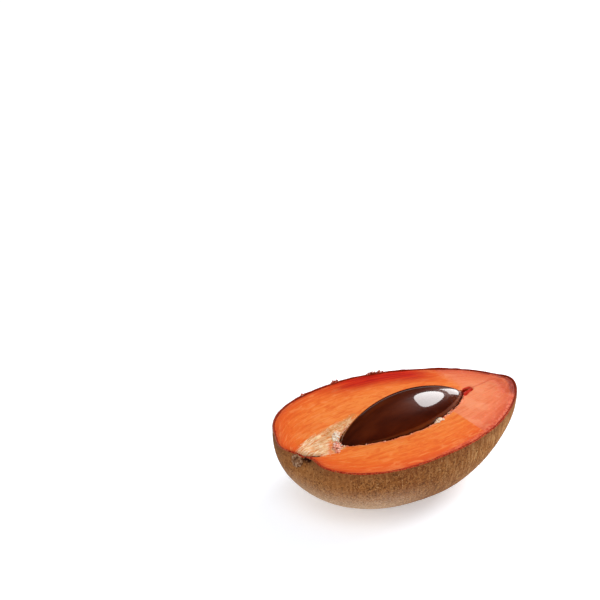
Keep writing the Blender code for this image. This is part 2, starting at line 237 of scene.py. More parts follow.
def fruit_station(x, y, z):
    """Station of points along the fruit, allowing for the skewed shoulder and the stem dents."""
    dent = stem_dent(y, z)
    station = 0.5 + x / FRUIT_LENGTH
    for _ in range(STATION_ROUNDS):
        stem_share = 1.0 - np.clip(station, 0.0, 1.0)
        moved = SHOULDER_SKEW * y * stem_share ** 2 - dent * stem_share ** DENT_FADING
        station = 0.5 + (x + moved) / FRUIT_LENGTH
    return station


def half_width(station, y):
    """Width from the axis to the skin, on the side that each y is on."""
    return np.where(y > 0.0, WIDE_SIDE * taper(station, WIDE_PROFILE),
                    NARROW_SIDE * taper(station, NARROW_PROFILE))


def inside_fruit(points):
    """True for the points inside the whole fruit."""
    x, y, z = points[..., 0], points[..., 1], points[..., 2]
    station = fruit_station(x, y, z)
    width = np.maximum(half_width(station, y), 1e-6)
    depth = np.maximum(BELLY_DEPTH * taper(station, BELLY_PROFILE), 1e-6)
    fullness = np.where(z < 0.0, BELLY_FULLNESS, 2.0)
    around = np.abs(y / width) ** fullness + np.abs(z / depth) ** fullness
    return (station > 0.0) & (station < 1.0) & (around < 1.0)


def reach(origin, directions, inside):
    """The points where rays from inside a shape leave it."""
    near = np.zeros(directions.shape[:-1])
    far = np.full(directions.shape[:-1], FAR_SHARE)
    for _ in range(HALVINGS):
        middle = (near + far) / 2
        is_in = inside(origin + directions * middle[..., None])
        near = np.where(is_in, middle, near)
        far = np.where(is_in, far, middle)
    return origin + directions * near[..., None]


def rays(downs, angles, sizes):
    """Directions at angles below the level and angles round, stretched to a shape's sizes."""
    down, angle = np.broadcast_arrays(downs, angles)
    return np.stack([np.cos(down) * np.cos(angle), np.cos(down) * np.sin(angle), -np.sin(down)],
                    axis=-1) * sizes


CENTRE_OF_CUT = np.array((0.0, 0.0, CUT_ABOVE_AXIS))
lie = Matrix.Rotation(-TIP_LIFT, 4, "Y") @ Matrix.Rotation(LEAN_TO_NARROW_SIDE, 4, "X")
print("width at the widest, mm:", round((WIDE_SIDE + NARROW_SIDE) / MM, 1))

# %% [markdown]
# ## Where the half lies
#
# The rule above is in the fruit's own axes, and the half lies tilted by about a degree both ways.
# The frame's box round the seed says where: its middle is the seed's middle, and its top is the
# seed's top. Matching the two gives the one matrix that puts every piece in place. The noise that
# makes the skin slightly uneven is the same as the solid's, so both surfaces agree, and skin and
# seed stay a few hundredths of a millimetre inside it. Beside the stem scar the skin has a torn
# pocket.

# %% Place of the fruit
SEED_LENGTH = 89.7 * MM
SEED_HALF_WIDTH = 15.7 * MM
SEED_HALF_HEIGHT = 14.7 * MM
SEED_INSET = 0.03 * MM            # keeps the seed's top inside the frame
SEED_SIZES = np.array((SEED_LENGTH / 2, SEED_HALF_WIDTH, SEED_HALF_HEIGHT))
SEED_POINT = 0.757
SEED_CENTRE = (-5.2 * MM, -1.1 * MM)
SEED_TURN = math.radians(4.2)
SEED_SINK = 1.6 * MM
seed_place = Matrix.Translation((*SEED_CENTRE, CUT_ABOVE_AXIS - SEED_SINK))
seed_place = seed_place @ Matrix.Rotation(SEED_TURN, 4, "Z")


def transformed(points, matrix):
    """Points turned and moved by a matrix."""
    turned = points @ np.array(matrix.to_3x3()).T
    return turned + np.array(matrix.translation)


seed_lies_at = (lie @ seed_place).translation
shift = Vector((seed_middle[0] - seed_lies_at.x, seed_middle[1] - seed_lies_at.y,
                seed_high[2] - SEED_HALF_HEIGHT - seed_lies_at.z))
place = Matrix.Translation(shift) @ lie
print("fruit axis lies at, mm:", [round(value / MM, 2) for value in shift])

# %% Skin surface
COLUMNS = 512
END_CROWDING = 0.18
SKIN_WAVE = 0.35 * MM
SKIN_WAVE_LENGTH = 22.0 * MM
SKIN_INSET = 0.05 * MM           # keeps the skin inside the frame
SCAR_ZONE = -0.4 * FRUIT_LENGTH
SCAR_POCKET = (-3.8 * MM, 1.0 * MM)      # Y and Z
SCAR_POCKET_RADIUS = 2.0 * MM
SCAR_POCKET_DEPTH = 2.0 * MM
SCAR_POCKET_STRETCH = 0.6                # under 1 makes the pocket taller than wide
OUTWARD_ALONG = 1 / 3                    # the skin's outward way leans this little along the fruit

turn = 2 * math.pi * np.arange(COLUMNS) / COLUMNS
column_angles = turn - END_CROWDING * np.sin(2 * turn)


def bumps(points, length, shift=0.0):
    """Smooth noise between -1 and 1 at each point; length is the size of a bump."""
    flat = (points / length + shift).reshape(-1, 3)
    values = [noise.noise(Vector(point)) for point in flat]
    return np.array(values).reshape(points.shape[:-1])


def scar_pocket(points):
    """Depth of the torn pocket beside the stem scar."""
    pocket_y, pocket_z = SCAR_POCKET
    away = np.hypot(points[..., 1] - pocket_y, SCAR_POCKET_STRETCH * (points[..., 2] - pocket_z))
    depth = SCAR_POCKET_DEPTH * np.exp(-(away / SCAR_POCKET_RADIUS) ** 2)
    return np.where(points[..., 0] < SCAR_ZONE, depth, 0.0)


def skin_surface(downs):
    """Points on the skin for rings of angles below the cut, one for each column."""
    points = reach(CENTRE_OF_CUT, rays(downs, column_angles, HALF_SIZES), inside_fruit)
    outward = points * (OUTWARD_ALONG, 1.0, 1.0)
    outward /= np.linalg.norm(outward, axis=-1, keepdims=True)
    moved = SKIN_WAVE * bumps(points, SKIN_WAVE_LENGTH) - SKIN_INSET
    points = points + outward * moved[..., None]
    points[..., 0] += scar_pocket(points)
    return points


print("columns of points:", COLUMNS)

# %% [markdown]
# ## Rings of points into meshes
#
# Skin, flesh and hollow all have the same make-up: rings of points, one inside the next, joined by
# four-sided faces and closed with a fan at each end. One helper does that, and stores any extra
# values the finishes need, such as how deep a point lies under the cut, as named attributes.

# %% Mesh helper
def ring_mesh(name, rings, first_point, last_point, values=None):
    """One closed mesh from a stack of rings, in place, with named values on its points."""
    rings = np.asarray(rings)
    count, columns = rings.shape[:2]
    points = np.concatenate([rings.reshape(-1, 3), [first_point], [last_point]])
    points = transformed(points, place)
    points[:, 2] = np.maximum(points[:, 2], 0.0)
    here = np.arange(columns)
    following = (here + 1) % columns
    faces = []
    for ring in range(count - 1):
        low, high = ring * columns, (ring + 1) * columns
        faces += np.stack([low + here, low + following, high + following, high + here], 1).tolist()
    first, last = count * columns, count * columns + 1
    faces += [(first, b, a) for a, b in zip(here.tolist(), following.tolist())]
    top = (count - 1) * columns
    faces += [(last, top + a, top + b) for a, b in zip(here.tolist(), following.tolist())]
    mesh = bpy.data.meshes.new(name)
    mesh.from_pydata(points.tolist(), [], faces)
    for label, data in (values or {}).items():
        data = np.asarray(data, dtype=float)
        kind = "FLOAT_VECTOR" if data.ndim == 3 else "FLOAT"
        attribute = mesh.attributes.new(label, kind, "POINT")
        ends = np.zeros((2, 3)) if data.ndim == 3 else np.zeros(2)
        ends[0], ends[1] = data[0].mean(axis=0), data[-1].mean(axis=0)
        flat = np.concatenate([data.reshape(-1, *data.shape[2:]), ends])
        attribute.data.foreach_set("vector" if data.ndim == 3 else "value", flat.ravel())
    mesh.shade_smooth()
    print(name, "has", len(points), "points and", len(faces), "faces")
    return mesh


# %% [markdown]
# ## Geometry Nodes helpers
#
# Small things that repeat, and relief that follows a surface, are made with Geometry Nodes. Each
# tree is built here in code: its sizes are named inputs, anything random has a fixed seed, and it
# ends in Realize Instances and Set Material. The result is then turned into a plain mesh. The same
# short helpers also wire the finishes further down.

# %% Node helpers
def add(tree, kind, inputs=None, **settings):
    """Adds a node, sets its options, and joins or sets its inputs by name or number."""
    node = tree.nodes.new(kind)
    for option, value in settings.items():
        setattr(node, option, value)
    for label, value in (inputs or {}).items():
        if isinstance(value, bpy.types.NodeSocket):
            tree.links.new(value, node.inputs[label])
        else:
            node.inputs[label].default_value = value
    return node


def calc(tree, operation, first, second=0.0):
    """One Math node; returns its output."""
    return add(tree, "ShaderNodeMath", {0: first, 1: second}, operation=operation).outputs[0]


def vector_calc(tree, operation, first, second):
    """One Vector Math node; returns its output."""
    return add(tree, "ShaderNodeVectorMath", {0: first, 1: second}, operation=operation).outputs[0]


def noise_at(tree, vector, bump_size, detail=2.0, distortion=0.0):
    """Noise from 0 to 1; bump_size is one length in metres, or three for stretched bumps."""
    if isinstance(bump_size, tuple):
        vector = vector_calc(tree, "DIVIDE", vector, bump_size)
        bump_size = 1.0
    return add(tree, "ShaderNodeTexNoise", {
        "Vector": vector, "Scale": 1.0 / bump_size, "Detail": detail, "Distortion": distortion}).outputs[0]


def geometry_tree(name, sizes):
    """A geometry tree with one named number for each size."""
    tree = bpy.data.node_groups.new(name, "GeometryNodeTree")
    tree.interface.new_socket("Geometry", in_out="INPUT", socket_type="NodeSocketGeometry")
    for label, value in sizes.items():
        socket = tree.interface.new_socket(label, in_out="INPUT", socket_type="NodeSocketFloat")
        socket.default_value = value
    tree.interface.new_socket("Geometry", in_out="OUTPUT", socket_type="NodeSocketGeometry")
    return tree, tree.nodes.new("NodeGroupInput").outputs


def kept_value(tree, name, data_type="FLOAT"):
    """A named value that is stored on the mesh."""
    return add(tree, "GeometryNodeInputNamedAttribute", {"Name": name}, data_type=data_type).outputs[0]


def random_between(tree, low, high, seed):
    """A random number for each point or copy."""
    return add(tree, "FunctionNodeRandomValue", {2: low, 3: high, "Seed": seed},
               data_type="FLOAT").outputs[1]


def end_tree(tree, geometry, finish):
    """Closes a tree with Realize Instances and Set Material."""
    real = add(tree, "GeometryNodeRealizeInstances", {"Geometry": geometry}).outputs[0]
    painted = add(tree, "GeometryNodeSetMaterial", {"Geometry": real, "Material": finish}).outputs[0]
    add(tree, "NodeGroupOutput", {0: painted})


def grow(name, mesh, tree, sizes=None):
    """Runs a geometry tree on a mesh and returns the result as an object with a plain mesh."""
    piece = bpy.data.objects.new(name, mesh)
    scene.collection.objects.link(piece)
    modifier = piece.modifiers.new(tree.name, "NODES")
    modifier.node_group = tree
    for item in tree.interface.items_tree:
        if item.item_type == "SOCKET" and item.in_out == "INPUT" and item.name in (sizes or {}):
            modifier[item.identifier] = sizes[item.name]
    graph = bpy.context.evaluated_depsgraph_get()
    grown = bpy.data.meshes.new_from_object(
        piece.evaluated_get(graph), preserve_all_data_layers=True, depsgraph=graph)
    piece.modifiers.remove(modifier)
    piece.data = grown
    grown.name = name
    print(name, "has", sum(len(face.vertices) - 2 for face in grown.polygons), "triangles")
    return piece


finishes = {name: bpy.data.materials.new(name) for name in (
    "rough_skin", "skin_flakes", "orange_flesh", "core_fibre", "pale_fibre", "lip_flesh",
    "torn_flesh", "torn_skin", "woody_scar", "polished_seed")}
for finish in finishes.values():
    finish.use_nodes = True
print("empty finishes:", len(finishes))

# %% [markdown]
# ## Skin
#
# The skin is a shell about a millimetre thick. Outside it is dull and scurfy, with shallow dents.
# Its cut edge stands slightly proud of the flesh and is ragged. The cut face comes first, because
# skin and flesh share its edge. The shell is rings of points from the belly up to the cut, over
# the cut edge and back down inside, and a geometry tree then dents its outside. The dents only go
# inwards, so the fruit doesn't grow. Behind the torn pocket the inside walls give way to it.

# %% Seed's hollow and cut face
SKIN_EDGE = 1.2 * MM
SKIN_RISE = 0.25 * MM
SKIN_SHOULDER = 0.3 * MM         # the skin starts to round over this far under the cut
SKIN_RAGGED = 0.5 * MM
RAGGED_LENGTH = 5.0 * MM
SECOND_CUT_STATION = 20.0 * MM
SECOND_CUT_FALL = math.radians(0.9)
END_ROLL = 1.1 * MM
END_ROLL_FROM = 52.0 * MM
END_ROLL_FULL = 70.0 * MM
END_ROLL_WIDTH = 0.3             # share of the way in from the skin
FLESH_RIPPLE = 0.12 * MM
FLESH_RIPPLE_SIZE = (40 * MM, 9 * MM, 1.0)
FLESH_RIPPLE_START = (0.0, 0.0, 3.7)
CORE_RISE = 0.3 * MM
CORE_RIPPLE = 0.5 * MM
CORE_RIPPLE_SIZE = (6 * MM, 4 * MM, 1.0)
CORE_RIPPLE_START = (0.0, 0.0, 8.1)
CORE_HALF_WIDTH = 7.0 * MM
CORE_WIDENING = 0.12
CORE_LINE = (2.0 * MM, 0.25)     # where its middle line starts in Y, and its slope
CORE_START_RAMP = 5.0 * MM
CORE_END_RAMP = 16.0 * MM
CORE_END = -34.0 * MM
CORE_SIDES = (0.6, 1.3)
STEM_END = -FRUIT_LENGTH / 2
CRACK_START = (-69.0 * MM, -3.0 * MM)
CRACK_SLOPE = -0.7
CRACK_END = -62.0 * MM
CRACK_END_RAMP = 5.0 * MM
CRACK_WIDTH = 1.6 * MM
CRACK_DEPTH = 1.6 * MM
HOLLOW_CLEARANCE = 0.6 * MM
HOLLOW_STEM_REACH = 1.07
HOLLOW_TIP_REACH = 1.16
HOLLOW_TIP_SHARE = 0.14
HOLLOW_TIP_START = 0.90


def inside_hollow(points):
    """True inside the seed's hollow, in the seed's own axes."""
    length_share = np.abs(points[..., 0]) / (SEED_LENGTH / 2)
    below = np.minimum(points[..., 2], 0.0)
    around = np.hypot(points[..., 1] / SEED_HALF_WIDTH, below / SEED_HALF_HEIGHT)
    fit = np.maximum(0.0, 1.0 - length_share ** 2) ** SEED_POINT
    beside_seed = (length_share < 1.0) & (around < fit + HOLLOW_CLEARANCE / SEED_HALF_HEIGHT)
    reach_share = np.where(points[..., 0] > 0.0, HOLLOW_TIP_REACH, HOLLOW_STEM_REACH)
    past = (length_share - HOLLOW_TIP_START) / (reach_share - HOLLOW_TIP_START)
    in_groove = (past > 0.0) & (past < 1.0) & (around < HOLLOW_TIP_SHARE * (1.0 - past))
    return beside_seed | in_groove


def core_share(x, y):
    """1 on the coarse fibrous core between the stem scar and the seed, 0 off it."""
    from_stem = x - STEM_END
    along = smooth_step(from_stem, 0.0, CORE_START_RAMP)
    along = along * (1.0 - smooth_step(x, CORE_END - CORE_END_RAMP, CORE_END))
    centre_line = CORE_LINE[0] + CORE_LINE[1] * from_stem
    half = CORE_HALF_WIDTH + CORE_WIDENING * from_stem
    return along * (1.0 - smooth_step(abs(y - centre_line) / half, *CORE_SIDES))


def face_height(points, inward):
    """Height of the cut face over the knife's plane; inward is 0 at the skin, 1 at the seed."""
    x, y = points[..., 0], points[..., 1]
    on_plane = np.stack([x, y, np.zeros_like(x)], axis=-1)
    ripple = FLESH_RIPPLE * bumps(on_plane / FLESH_RIPPLE_SIZE, 1.0, FLESH_RIPPLE_START)
    second_cut = math.tan(SECOND_CUT_FALL) * np.maximum(0.0, x - SECOND_CUT_STATION)
    end_roll = END_ROLL * smooth_step(x, END_ROLL_FROM, END_ROLL_FULL)
    end_roll = end_roll * (1.0 - smooth_step(inward, 0.0, END_ROLL_WIDTH))
    fibres = CORE_RISE + CORE_RIPPLE * bumps(on_plane / CORE_RIPPLE_SIZE, 1.0, CORE_RIPPLE_START)
    start_x, start_y = CRACK_START
    off_line = y - start_y - CRACK_SLOPE * (x - start_x)
    ending = 1.0 - smooth_step(x, CRACK_END - CRACK_END_RAMP, CRACK_END)
    crack = CRACK_DEPTH * ending * np.exp(-(off_line / CRACK_WIDTH) ** 2)
    return ripple - second_cut - end_roll + core_share(x, y) * fibres - crack


def face_ring(share, offset, rise=0.0, ragged=0.0):
    """Points on the cut face, a share of the way in from the rim plus an offset."""
    run = np.linalg.norm(lip - rim, axis=-1)
    inward = share + offset / run
    points = rim + (lip - rim) * inward[:, None]
    rough = ragged * bumps(points, RAGGED_LENGTH)
    points[:, 2] = CUT_ABOVE_AXIS + face_height(points, inward) + rise + rough
    return points


level_rim = reach(CENTRE_OF_CUT, rays(0.0, column_angles, HALF_SIZES), inside_fruit)
to_rim = level_rim.copy()
to_rim[:, 2] = face_height(level_rim, np.zeros(COLUMNS)) - SKIN_SHOULDER
rim = reach(CENTRE_OF_CUT, to_rim, inside_fruit)
lip_rays = rays(0.0, column_angles, SEED_SIZES)
lip = transformed(reach(np.array((0.0, 0.0, SEED_SINK)), lip_rays, inside_hollow), seed_place)
print("rim, mm:", np.round(np.ptp(rim, axis=0) / MM, 1))
print("hollow at the cut, mm:", np.round(np.ptp(lip, axis=0) / MM, 1))

# %% Build the skin
BELLY_RINGS = 100
BELLY_CROWDING = 1.25
INNER_RINGS = 9
INNER_CROWDING = 1.8
POCKET_WALL = 2.4 * MM           # how far the inside walls give way to the torn pocket
POCKET_WALL_REACH = 4.5 * MM
POCKET_SHADE = (-3.0 * MM, 1.4 * MM, 2.6 * MM, 3.2 * MM)   # middle in Y and Z, then half sizes
INNER_INSET = 1.2 * MM
INNER_FLOOR = 0.8 * MM
EDGE_STEPS = (  # inset, rise and raggedness, as shares of the skin's edge values
    (0.04, -1.2, 0.0), (0.06, -0.5, 0.1), (0.12, 0.2, 0.4), (0.25, 0.8, 0.9),
    (0.45, 1.0, 1.0), (0.70, 0.9, 1.1), (0.90, 0.6, 1.0), (1.00, 0.1, 0.8))


def skin_below_rim(shares):
    """Rings of skin, at shares of the way from each column's rim to straight down."""
    outward = np.hypot(rim[:, 0] / HALF_SIZES[0], rim[:, 1] / HALF_SIZES[1])
    rim_down = np.arctan2((CUT_ABOVE_AXIS - rim[:, 2]) / HALF_SIZES[2], outward)
    return skin_surface(rim_down + shares[:, None] * (math.pi / 2 - rim_down))


belly = skin_below_rim((np.arange(1, BELLY_RINGS) / BELLY_RINGS) ** BELLY_CROWDING)
inner_skin = skin_below_rim((np.arange(1, INNER_RINGS) / INNER_RINGS) ** INNER_CROWDING)
give_way = np.exp(-((rim[:, 1] - SCAR_POCKET[0]) / POCKET_WALL_REACH) ** 2) * (rim[:, 0] < SCAR_ZONE)
give_way = (POCKET_WALL * give_way)[None, :, None]
rim_reach = np.linalg.norm(rim - CENTRE_OF_CUT, axis=-1)[None, :, None]


def wall_inside(inset, lowest):
    """Rings a little inside the skin, no lower than a height over the floor."""
    wall = CENTRE_OF_CUT + (inner_skin - CENTRE_OF_CUT) * (1.0 - (inset + give_way) / rim_reach)
    wall[..., 2] = np.maximum(wall[..., 2], lowest - shift.z)
    return wall


edge_rings = [face_ring(0.0, inset * SKIN_EDGE, rise * SKIN_RISE, rough * SKIN_RAGGED)
              for inset, rise, rough in EDGE_STEPS]
skin_rings = np.concatenate([belly[::-1], edge_rings, wall_inside(INNER_INSET, INNER_FLOOR)])
skin_outside = np.zeros(skin_rings.shape[:2])
skin_outside[:len(belly)] = smooth_step(np.arange(len(belly))[::-1], -1.0, 4.0)[:, None]
cut_edge = np.zeros(skin_rings.shape[:2])
cut_edge[len(belly) + 1:len(belly) + len(edge_rings)] = 1.0
edge_way = np.zeros(skin_rings.shape[:2])
edge_way[len(belly):len(belly) + len(edge_rings)] = np.array(EDGE_STEPS)[:, :1]
edge_way[len(belly) + len(edge_rings):] = 1.0
under_cut = np.clip(CUT_ABOVE_AXIS - skin_rings[..., 2], 0.0, None)
skin_way = np.broadcast_to(rim, skin_rings.shape).copy()
skin_way[..., 2] = under_cut
lowest_outside = reach(CENTRE_OF_CUT, np.array([[0.0, 0.0, -BELLY_DEPTH]]), inside_fruit)[0]
lowest_inside = np.array((0.0, 0.0, INNER_FLOOR - shift.z))
# Where the torn pocket is painted nearly black as shade:
shade_y, shade_z, shade_width, shade_height = POCKET_SHADE
pocket_painted_shade = np.hypot((skin_rings[..., 1] - shade_y) / shade_width,
                  (skin_rings[..., 2] - shade_z) / shade_height)
pocket_painted_shade = np.where(skin_rings[..., 0] < SCAR_ZONE, np.exp(-pocket_painted_shade ** 2), 0.0)
skin_start = ring_mesh("skin", skin_rings, lowest_outside, lowest_inside, {
    "outside": skin_outside, "cut_edge": cut_edge, "edge_way": edge_way, "pocket_painted_shade": pocket_painted_shade,
    "under_cut": under_cut, "skin_way": skin_way})

# %% Dent the skin
tree, sizes = geometry_tree("Skin relief", {"Dent depth": 0.22 * MM, "Grain depth": 0.14 * MM})
position = add(tree, "GeometryNodeInputPosition").outputs[0]
dents = noise_at(tree, position, 6.0 * MM, 3.0)
grain = noise_at(tree, position, 1.8 * MM, 2.0)
dent = calc(tree, "MULTIPLY", calc(tree, "SUBTRACT", dents, 1.0), sizes["Dent depth"])
grain = calc(tree, "MULTIPLY", calc(tree, "SUBTRACT", grain, 1.0), sizes["Grain depth"])
depth = calc(tree, "MULTIPLY", calc(tree, "ADD", dent, grain), kept_value(tree, "outside"))
inwards = add(tree, "ShaderNodeVectorMath", {
    0: add(tree, "GeometryNodeInputNormal").outputs[0], "Scale": depth}, operation="SCALE").outputs[0]
dented = add(tree, "GeometryNodeSetPosition", {"Geometry": sizes["Geometry"], "Offset": inwards})
end_tree(tree, dented.outputs[0], finishes["rough_skin"])
skin = grow("skin", skin_start, tree)

# %% [markdown]
# ## Flesh
#
# The cut face is not a plain plane: fibres run along it from end to end, the pale core near the
# stem is coarse, the edge round the seed is raised and crumbly, and towards the pointed end the
# knife ran a little lower. The face is rings from the skin in to the seed's hollow, and the hollow
# continues them down. The flesh has an underside inside the skin, so it is a whole solid.
#
# The face also has zones of colour: a cream wedge by the stem, a deep red band on the wide side,
# a salmon end with a clear border, which is a painted sheen of the key lamp on a knife facet, and
# small marks such as a red notch at the seed's tip. Painted shade darkens the edge round the
# pointed end, the creases, lines by the stem scar, a pit at the seed's stem-side tip and the hollow.
# Each is a share from 0 to 1 for every point, kept with its distance from skin and seed and with
# the way that the fibres run. The finish reads these shares, so the colours stay where the shape is.

# %% Colour zones on the face
PALE_UPPER_EDGE = ((-75, -62.8, -49.5, -31.2, -14), (3, 10.5, 14, 16.5, 17))      # X and Y, mm
PALE_LOWER_EDGE = ((-75, -66, -62, -55, -49, -44), (-2, -5, -8, -9, -7.5, -3))
PALE_UPPER_RAMP = (-1.5 * MM, 4.5 * MM)
PALE_LOWER_RAMP = (-3.5 * MM, 2.5 * MM)
PALE_END = (-34.0 * MM, -16.0 * MM)
NEAR_SIDE_RAMP = (-5.0 * MM, 7.0 * MM)
NOTCH = (43.4 * MM, 2.2 * MM, 3.4 * MM, 2.6 * MM)        # middle X and Y, then half sizes
NOTCH_LINE = ((38.0, -0.8), (45.2, 2.9))                 # X and Y, mm
NOTCH_WIDTH = 1.8 * MM
# A pit at the seed's stem-side tip, pressed in and painted nearly black as shade.
TIP_PIT = (-50.4 * MM, -3.6 * MM, 2.2 * MM, 2.4 * MM)
# Painted sheen: the salmon end stands in for the key lamp mirrored on a knife facet.
SALMON_SHEEN_NEAR = (19.0 * MM, 23.0 * MM)
SALMON_SHEEN_FAR = (30.0 * MM, 54.0 * MM)
DEEP_RED_ALONG = (-34.0 * MM, -2.0 * MM, 26.0 * MM, 46.0 * MM)
DEEP_RED_REACH = (7.0 * MM, 20.0 * MM)
PINK_BAND_ALONG = (-24.0 * MM, -4.0 * MM)
PINK_BAND_REACH = (2.2 * MM, 4.6 * MM)
# The creases and the dent are pressed in, and painted darker as shade.
CREASE = ((44.0, 2.6), (53.1, 2.9), (59.8, 3.7), (72.1, 3.4))                     # X and Y, mm
CREASE_WIDTH = 0.7 * MM
DENT = ((63.9, 0.8), (62.6, -5.0), (59.2, -11.2))
DENT_WIDTH = 2.4 * MM
ORANGE_STRIP = ((-52.8, 0.0), (-56.0, -4.4), (-59.3, -8.8))
TAN_STRIP = ((-25.3, 16.5), (-32.6, 14.0), (-44.8, 10.0), (-57.0, 3.0))
STRIP_WIDTH = 1.1 * MM
# Painted shade: a dark red edge round the pointed end, where the face rounds down.
TIP_EDGE_SHADE = (57.0 * MM, 65.0 * MM)
TIP_EDGE_SHADE_SIDE = (-21.0 * MM, -13.0 * MM)
TIP_EDGE_SHADE_REACH = (3.4 * MM, 6.4 * MM)
# Lines pressed in beside the stem scar, painted dark as shadow in their crevices.
CREVICE_SHADE_LINES = ((-74.6, 5.2), (-72.8, 1.0), (-70.6, -1.6), (-68.4, -3.4), (-64.8, -6.0))
CREVICE_SHADE_WIDTH = 0.9 * MM
SPOT_SIDES = (0.6, 1.25)
FAN_CENTRE = (-90.0 * MM, -3.0 * MM)
FAN_WIDTH = 30.0 * MM


def near_side(y):
    """1 on the narrow side of the face, 0 on the wide side."""
    return 1.0 - smooth_step(y, *NEAR_SIDE_RAMP)


def pale_share(x, y):
    """1 on the cream-coloured wedge between the stem scar and the seed."""
    upper = np.interp(x / MM, *PALE_UPPER_EDGE) * MM
    lower = np.interp(x / MM, *PALE_LOWER_EDGE) * MM
    inside = smooth_step(upper - y, *PALE_UPPER_RAMP) * smooth_step(y - lower, *PALE_LOWER_RAMP)
    return inside * (1.0 - smooth_step(x, *PALE_END))


def salmon_sheen_share(x, y):
    """1 on the painted sheen towards the pointed end, salmon pink, with a clear border on the near side.
    """
    near = smooth_step(x, *SALMON_SHEEN_NEAR)
    far = smooth_step(x, *SALMON_SHEEN_FAR)
    return near * near_side(y) + far * (1.0 - near_side(y))


def deep_red_share(x, y, from_skin):
    """1 in the deep red band along the wide side."""
    start, full, fading, end = DEEP_RED_ALONG
    along = smooth_step(x, start, full) * (1.0 - smooth_step(x, fading, end))
    return along * (1.0 - smooth_step(from_skin, *DEEP_RED_REACH)) * (1.0 - near_side(y))


def pink_share(x, y, from_skin):
    """1 in the pinkish band just inside the skin on the narrow side."""
    along = near_side(y) * smooth_step(x, *PINK_BAND_ALONG)
    return along * (1.0 - smooth_step(from_skin, *PINK_BAND_REACH))


def tip_edge_shade_share(x, y, from_skin):
    """1 in the dark red painted shade round the pointed end."""
    along = smooth_step(x, *TIP_EDGE_SHADE) * smooth_step(y, *TIP_EDGE_SHADE_SIDE)
    return along * (1.0 - smooth_step(from_skin, *TIP_EDGE_SHADE_REACH))


def spot_share(x, y, spot):
    """1 inside a small oval spot, 0 well off it."""
    middle_x, middle_y, half_x, half_y = spot
    away = np.hypot((x - middle_x) / half_x, (y - middle_y) / half_y)
    return 1.0 - smooth_step(away, *SPOT_SIDES)


def line_share(x, y, line, width):
    """1 on a bent line through points given in mm, fading away beside it."""
    nearest = np.full(np.shape(x), 1.0)
    for start, end in zip(np.array(line[:-1]) * MM, np.array(line[1:]) * MM):
        run_x, run_y = end - start
        share = ((x - start[0]) * run_x + (y - start[1]) * run_y) / (run_x ** 2 + run_y ** 2)
        share = np.clip(share, 0.0, 1.0)
        nearest = np.minimum(nearest, np.hypot(x - start[0] - share * run_x, y - start[1] - share * run_y))
    return np.exp(-(nearest / width) ** 2)


print("salmon end starts on the near side at X, mm:", [round(value / MM) for value in SALMON_SHEEN_NEAR])

# %% Build the flesh
FLESH_DROP = 0.25 * MM
LIP_WIDTH = 1.2 * MM
LIP_RISE = 0.35 * MM
LIP_RAGGED = 0.6 * MM
LIP_ROUND = 0.2 * MM
LIP_STEPS = (  # distance from the lip, rise and raggedness, as shares of the lip's values
    (0.75, 0.4, 0.4), (0.55, 0.9, 1.0), (0.35, 1.0, 1.2), (0.15, 0.6, 0.9))
FACE_RINGS = 64
FACE_START = 1.4 * SKIN_EDGE
FACE_DROP_WIDTH = 0.06           # share of the way in, over which the flesh rises to its full height
UNDER_FROM_SKIN = 5.0 * MM       # counts as this far from the skin on the hidden underside
NARROWEST_LANE = 4.0 * MM
HOLLOW_RINGS = 20
HOLLOW_CROWDING = 1.2
FLESH_GAP = 0.06 * MM
UNDER_INSET = 1.5 * MM
UNDER_FLOOR = 1.2 * MM

face_rings = [face_ring(0.0, SKIN_EDGE + FLESH_GAP, -2.0 * FLESH_DROP),
              face_ring(0.0, 1.15 * SKIN_EDGE, -0.9 * FLESH_DROP)]
for share in np.arange(FACE_RINGS + 1) / FACE_RINGS:
    offset = FACE_START - share * (FACE_START + LIP_WIDTH)
    drop = -FLESH_DROP * (1.0 - smooth_step(share, 0.0, FACE_DROP_WIDTH))
    face_rings.append(face_ring(share, offset, drop))
for share, rise, rough in LIP_STEPS:
    face_rings.append(face_ring(1.0, -share * LIP_WIDTH, rise * LIP_RISE, rough * LIP_RAGGED))
face_rings.append(face_ring(1.0, 0.0, -LIP_ROUND))

hollow_downs = math.pi / 2 * (np.arange(HOLLOW_RINGS) / HOLLOW_RINGS) ** HOLLOW_CROWDING
hollow = reach(np.zeros(3), rays(hollow_downs[:, None], column_angles, SEED_SIZES), inside_hollow)
hollow = transformed(hollow, seed_place)
straight_down = np.array([[0.0, 0.0, -SEED_HALF_HEIGHT]])
hollow_floor = transformed(reach(np.zeros(3), straight_down, inside_hollow), seed_place)[0]

flesh_rings = np.concatenate([wall_inside(UNDER_INSET, UNDER_FLOOR), face_rings, hollow])
first_face = len(inner_skin)
first_hollow = first_face + len(face_rings)
flat_x, flat_y = flesh_rings[..., 0], flesh_rings[..., 1]
from_skin = np.linalg.norm((flesh_rings - rim)[..., :2], axis=-1)
from_seed = np.linalg.norm((flesh_rings - lip)[..., :2], axis=-1)
from_skin[:first_face] = UNDER_FROM_SKIN
on_face = np.zeros(flat_x.shape)
on_face[first_face + 2:first_hollow - 1] = 1.0
# The seed's hollow, painted dark red as shade under the seed.
hollow_shade = np.zeros(flat_x.shape)
hollow_shade[first_hollow - 1:] = smooth_step(np.arange(HOLLOW_RINGS + 1), -1.0, 3.0)[:, None]
station = fruit_station(flat_x, flat_y, CUT_ABOVE_AXIS)
lane = flat_y / np.maximum(half_width(station, flat_y), NARROWEST_LANE) * NARROW_SIDE
fibre_way = np.stack([flat_x, lane, flesh_rings[..., 2]], axis=-1)
fan_x, fan_y = flat_x - FAN_CENTRE[0], flat_y - FAN_CENTRE[1]
fan_round = FAN_WIDTH * np.arctan2(fan_y, fan_x)
fan_way = np.stack([np.hypot(fan_x, fan_y), fan_round, flesh_rings[..., 2]], axis=-1)
notch = np.maximum(spot_share(flat_x, flat_y, NOTCH),
                   line_share(flat_x, flat_y, NOTCH_LINE, NOTCH_WIDTH))
under_middle = np.array((0.0, 0.0, UNDER_FLOOR - shift.z))
